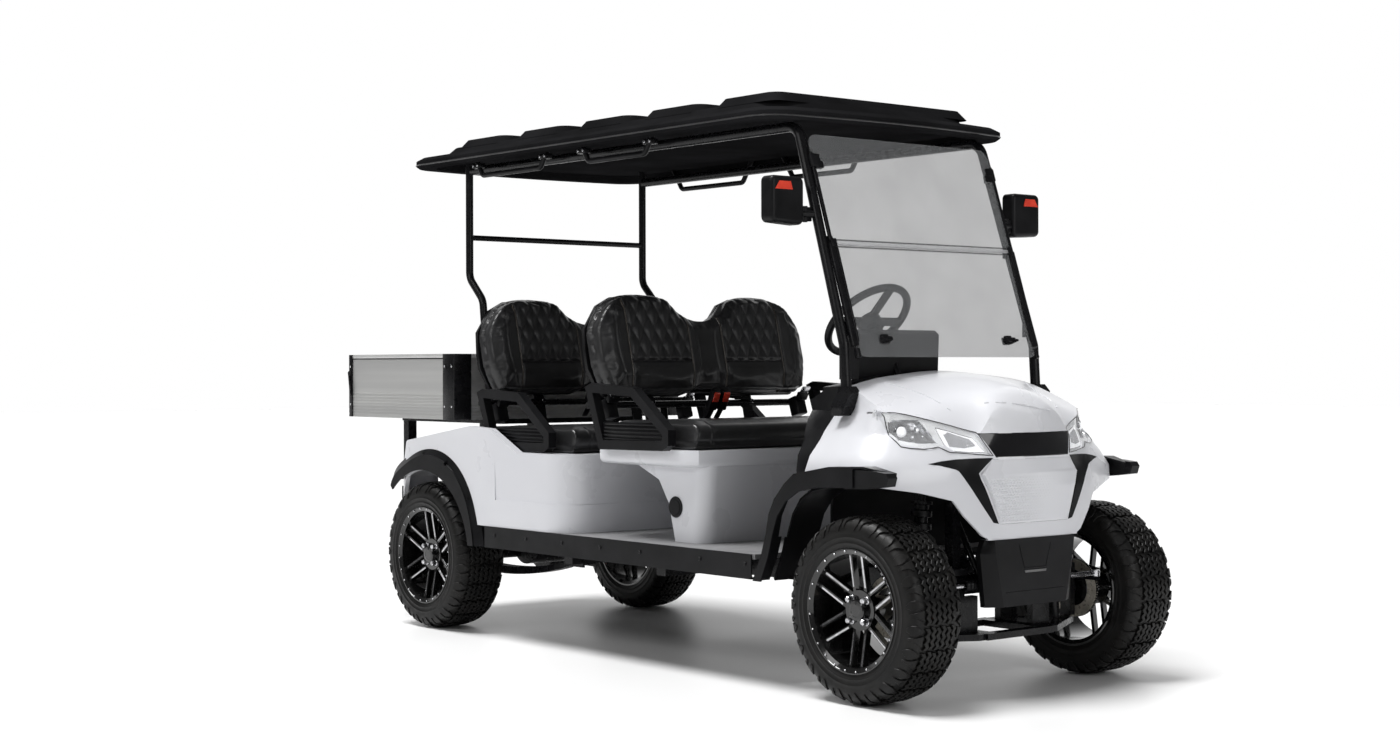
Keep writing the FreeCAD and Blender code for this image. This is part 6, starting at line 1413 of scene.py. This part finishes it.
def buildBelts():
    spec = beltSpec
    heads, buttons, stalks, boxes, tongues = [], [], [], [], []
    for shift, (places, rise, drop) in spec["rows"].items():
        y, z = spec["headY"] + shift, spec["headHeight"] + rise
        dy, dz = spec["stalkDrop"]
        for x in places:
            heads.append(beltPart("head", onCart(x, y, z)))
            press = onCart(x, y, z) + tilt(spec["button"][2]) @ Vector(spec["buttonPlace"])
            buttons.append(beltPart("button", press))
            stalks.append(beltPart("stalk", onCart(x * spec["stalkPull"], y + dy, z + dz)))
        for side in (-1, 1):
            x, y, z = side * spec["boxPlane"], spec["boxY"] + shift, spec["boxHeight"] - drop
            boxes.append(beltPart("box", onCart(x, y, z)))
            for kind, (dy, dz), parts in (("guide", spec["guideRise"], boxes),
                                          ("tongue", spec["tongueRise"], tongues)):
                parts.append(beltPart(kind, onCart(x, y + dy, z + dz)))
    for name, parts, look in (("buckles", heads, "mouldedBlack"), ("buttons", buttons, "signalRed"),
                              ("stalks", stalks, "mouldedBlack"), ("boxes", boxes, "mouldedBlack"),
                              ("tongues", tongues, "brightSteel")):
        addPiece("belt_" + name, joinMeshes(name, parts), look)


# Ribbed pads in the armrest loops

armrestSpec = {"plane": 540, "front": 984, "rear": 1342, "low": 776, "ribs": 5, "pitch": 13,
               "plateThick": 0.012, "plateBevel": 0.005, "ribOut": 8, "ribShare": 0.96, "ribTaper": 0.02,
               "ribThick": 0.010, "ribTall": 0.0075, "ribBevel": 0.0028}


def buildArmrestPads():
    spec = armrestSpec
    plates, ribs = [], []
    length = (spec["rear"] - spec["front"]) * mm
    middle = (spec["rear"] + spec["front"]) / 2
    tall = spec["ribs"] * spec["pitch"]
    for shift, drop in ((0, 0), (cartSpec["seatPitch"], cartSpec["seatDrop"])):
        low = spec["low"] - drop
        size = (spec["plateThick"], length, tall * mm)
        centre = onCart(-spec["plane"], middle + shift, low + tall / 2)
        plates.append(blockMesh("plate", centre, size, spec["plateBevel"]))
        for number in range(spec["ribs"]):
            place = onCart(-spec["plane"] - spec["ribOut"], middle + shift,
                           low + (number + 0.5) * spec["pitch"])
            share = spec["ribShare"] - spec["ribTaper"] * number
            ribs.append(blockMesh("rib", place, (spec["ribThick"], length * share, spec["ribTall"]),
                                  spec["ribBevel"]))
    addBoth("armrest_pads", joinMeshes("plates", plates), "mouldedBlack")
    addBoth("armrest_pad_ribs", joinMeshes("ribs", ribs), "mouldedBlack")


# The socket cap on the seat base, bolts and handle brackets; discs give radius, depth, sides and bevel

boltSpec = {
    "cap": [((-479.5, 1006, 550), (0.037, 0.005, 48, 0.002)),
            ((-484, 1006, 550), (0.027, 0.0025, 48, 0.001))],
    "skirtBolts": (500, 730, 1056, 1287, 1520, 1750, 1960), "skirtPlane": -599.8, "skirtHeight": 398,
    "skirtSizes": (0.007, 0.004, 16, 0.0015),
    "handles": ((1117, 1520), (1756, 2219)), "handleInset": 4, "handlePlane": -500, "handleHeight": 1826,
    "bracket": (0.030, 0.052, 0.020), "bracketBevel": 0.003,
    "boltPlane": -514.6, "boltShift": 15, "boltSizes": (0.0055, 0.004, 12, 0.0012),
    "seatBolts": ((-240, 1438), (240, 1438), (-240, 2148), (240, 2148)), "seatBoltHeight": 905,
    "seatBoltSizes": (0.008, 0.006, 16, 0.002),
}


def sideDisc(place, sizes):
    return discMesh("disc", onCart(*place), (-1, 0, 0), *sizes)


def buildBolts():
    spec = boltSpec
    addPiece("socket_cap", joinMeshes("cap", [sideDisc(*row) for row in spec["cap"]]), "mouldedBlack")
    heads = [sideDisc((spec["skirtPlane"], y, spec["skirtHeight"]),
                      spec["skirtSizes"]) for y in spec["skirtBolts"]]
    addBoth("skirt_bolts", joinMeshes("heads", heads), "powderBlack")
    brackets, bright = [], []
    for start, end in spec["handles"]:
        for y in (start + spec["handleInset"], end - spec["handleInset"]):
            place = onCart(spec["handlePlane"], y, spec["handleHeight"])
            brackets.append(blockMesh("bracket", place, spec["bracket"], spec["bracketBevel"]))
            for shift in (-spec["boltShift"], spec["boltShift"]):
                bright.append(sideDisc((spec["boltPlane"], y + shift, spec["handleHeight"]),
                                       spec["boltSizes"]))
    addBoth("handle_brackets", joinMeshes("brackets", brackets), "powderBlack")
    for x, y in spec["seatBolts"]:
        bright.append(discMesh("post", onCart(x, y, spec["seatBoltHeight"]), (0, -1, 0),
                               *spec["seatBoltSizes"]))
    addBoth("bright_bolts", joinMeshes("bright", bright), "brightSteel")


# Cargo box: posts, ribs, top rails, rivets and levers, with black strips of painted shade under the top
# rails

cargoSpec = {
    "half": 560, "front": 2299, "rear": 3121, "low": 829, "high": 1090,
    "postWide": 80, "rearPostWide": 26, "postThick": 5, "endClear": 2,
    "ribs": 8, "ribLow": 842, "ribPitch": 12.5, "ribOut": 0.4, "ribThick": 3.4, "ribTall": 4.6,
    "gateClear": 30, "gateEnds": 60, "gateRise": 14, "gateOut": 0.3, "gateThick": 0.5, "gateBevel": 0.2,
    "bevel": 1.2, "railHigh": 15, "railThick": 4, "railOut": 1, "railBevel": 1,
    "gapShadowOut": 0.3, "gapShadowDrop": 3, "gapShadowThick": 2, "gapShadowTall": 4, "gapShadowBevel": 0.4,
    "rivetHeights": (881, 1040), "rivetInset": 14, "rivetSink": 0.2,
    "rivetSizes": (0.0046, 0.003, 14, 0.0012),
    "lever": (16, 968), "leverOut": 5, "leverSize": (8, 10, 100), "leverBevel": 3, "leverTilt": -9,
    "hub": (13, 1012), "hubSizes": (0.011, 0.008, 24, 0.002),
}


def cargoBlock(place, size, bevel=cargoSpec["bevel"], turn=None):
    return blockMesh("cargoBlock", onCart(*place), [part * mm for part in size], bevel * mm, turn)


def cargoRibs(name, place, size, count, bevel=cargoSpec["bevel"]):
    step = (0.0, 0.0, cargoSpec["ribPitch"] * mm)
    return repeated(name, cargoBlock(place, size, bevel), "boxAluminium", count, step)


def buildCargoPosts():
    spec = cargoSpec
    half, front, rear = spec["half"], spec["front"], spec["rear"]
    middle, height = (spec["low"] + spec["high"]) / 2, spec["high"] - spec["low"]
    wide, narrow, thick = spec["postWide"], spec["rearPostWide"], spec["postThick"]
    posts = [cargoBlock((-half - thick / 2, front + wide / 2, middle), (thick, wide, height)),
             cargoBlock((-half - thick + wide / 2, front - thick / 2, middle), (wide, thick, height)),
             cargoBlock((-half - thick / 2, rear - narrow / 2, middle), (thick, narrow, height))]
    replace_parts(addBoth("cargo_posts", joinMeshes("posts", posts), "powderBlack"), "cargo_corner_posts")
    rivets = []
    for z in spec["rivetHeights"]:
        inset = spec["rivetInset"]
        for y in (front + inset, front + wide - inset, rear - narrow / 2):
            rivets.append(sideDisc((-half - thick + spec["rivetSink"], y, z), spec["rivetSizes"]))
    return joinMeshes("rivets", rivets)


def buildCargoTrim():
    spec = cargoSpec
    half, front, rear, ribLow = spec["half"], spec["front"], spec["rear"], spec["ribLow"]
    rivets = buildCargoPosts()
    start, end = front + spec["postWide"] + spec["endClear"], rear - spec["rearPostWide"] - spec["endClear"]
    length, middle, across = end - start, (start + end) / 2, 2 * (half - spec["postWide"])
    thick, tall = spec["ribThick"], spec["ribTall"]
    ribs = cargoRibs("cargoSideRibs", (-half - spec["ribOut"], middle, ribLow), (thick, length, tall),
                     spec["ribs"])
    addBoth("cargo_side_ribs", ribs, "boxAluminium")
    ribs = cargoRibs("cargoFrontRibs", (0, front - spec["ribOut"], ribLow), (across, thick, tall),
                     spec["ribs"])
    addPiece("cargo_front_ribs", ribs, "boxAluminium")
    gateWide = 2 * (half - spec["gateClear"]) - spec["gateEnds"]
    ribs = cargoRibs("tailgateRibs", (0, rear - spec["gateOut"], ribLow + spec["gateRise"]),
                     (gateWide, spec["gateThick"], tall), spec["ribs"] - 1, spec["gateBevel"])
    addPiece("tailgate_ribs", ribs, "boxAluminium", "box_gate")
    rail, out, deep = spec["railHigh"], spec["railOut"], spec["railThick"]
    railMiddle = spec["high"] - rail / 2 - 1
    side = cargoBlock((-half - out, middle, railMiddle), (deep, length, rail - 2), spec["railBevel"])
    addBoth("cargo_top_rails", side, "railAluminium")
    ahead = cargoBlock((0, front - out, railMiddle), (across, deep, rail - 2), spec["railBevel"])
    addPiece("cargo_front_rail", ahead, "railAluminium")
    # A thin black strip just under each side rail is painted shade: it stands for the shadow in the gap
    # below the rail, not a black part
    gapShadow = cargoBlock((-half - spec["gapShadowOut"], middle, spec["high"] - rail - spec["gapShadowDrop"]),
                     (spec["gapShadowThick"], length, spec["gapShadowTall"]), spec["gapShadowBevel"])
    addBoth("cargo_rail_gaps", gapShadow, "mouldedBlack")
    addBoth("cargo_rivets", rivets, "brightSteel")
    plane = -half - spec["postThick"]
    inset, height = spec["lever"]
    lever = cargoBlock((plane - spec["leverOut"], rear - inset, height), spec["leverSize"],
                       spec["leverBevel"],
                       tilt(spec["leverTilt"]))
    inset, height = spec["hub"]
    hub = sideDisc((plane, rear - inset, height), spec["hubSizes"])
    addBoth("cargo_levers", joinMeshes("lever", [lever, hub]), "powderBlack")


# Roof: a bead runs round its rim, found by rays from outside towards its middle

roofSpec = {"middle": 1517, "wideReach": 900, "longReach": 1600, "height": 1850, "bead": 3.2, "points": 176}


def buildRoofBead():
    spec = roofSpec
    skin, centre = skinOf("roof"), onCart(0, spec["middle"], spec["height"])
    line = []
    for number in range(spec["points"] + 1):
        angle = 2 * math.pi * (number % spec["points"]) / spec["points"]
        along = spec["middle"] + spec["longReach"] * math.sin(angle)
        start = onCart(spec["wideReach"] * math.cos(angle), along, spec["height"])
        line.append(skin.ray_cast(start, (centre - start).normalized())[0])
    addPiece("roof_rim_bead", tubeMesh("bead", line, spec["bead"] * mm), "seatHide")


# Front brakes: a bright ring on each disc

brakeSpec = {"plane": 428.5, "inner": 0.060, "outer": 0.0985, "thick": 0.011, "steps": 72}


def buildBrakes():
    spec = brakeSpec
    for side, way in (("right", -1), ("left", 1)):
        place = onCart(way * spec["plane"], 0, cartSpec["axleHeight"])
        ring = ringMesh("disc", place, (way, 0, 0), spec["inner"], spec["outer"], spec["thick"],
                        spec["steps"])
        addPiece(f"brake_disc_{side}", ring, "brakeSteel", f"wheel_front_{side}")


buildNose()
buildCreases()
buildFlareCaps()
buildBumperTrim()
buildScreenTrim()
buildMirrorTrim()
print("nose, lamps and screen trim done")
buildBelts()
buildArmrestPads()
buildBolts()
buildCargoTrim()
buildRoofBead()
buildBrakes()
print("belts, bolts, cargo trim and brakes done")


buildStudio()
placeCamera()
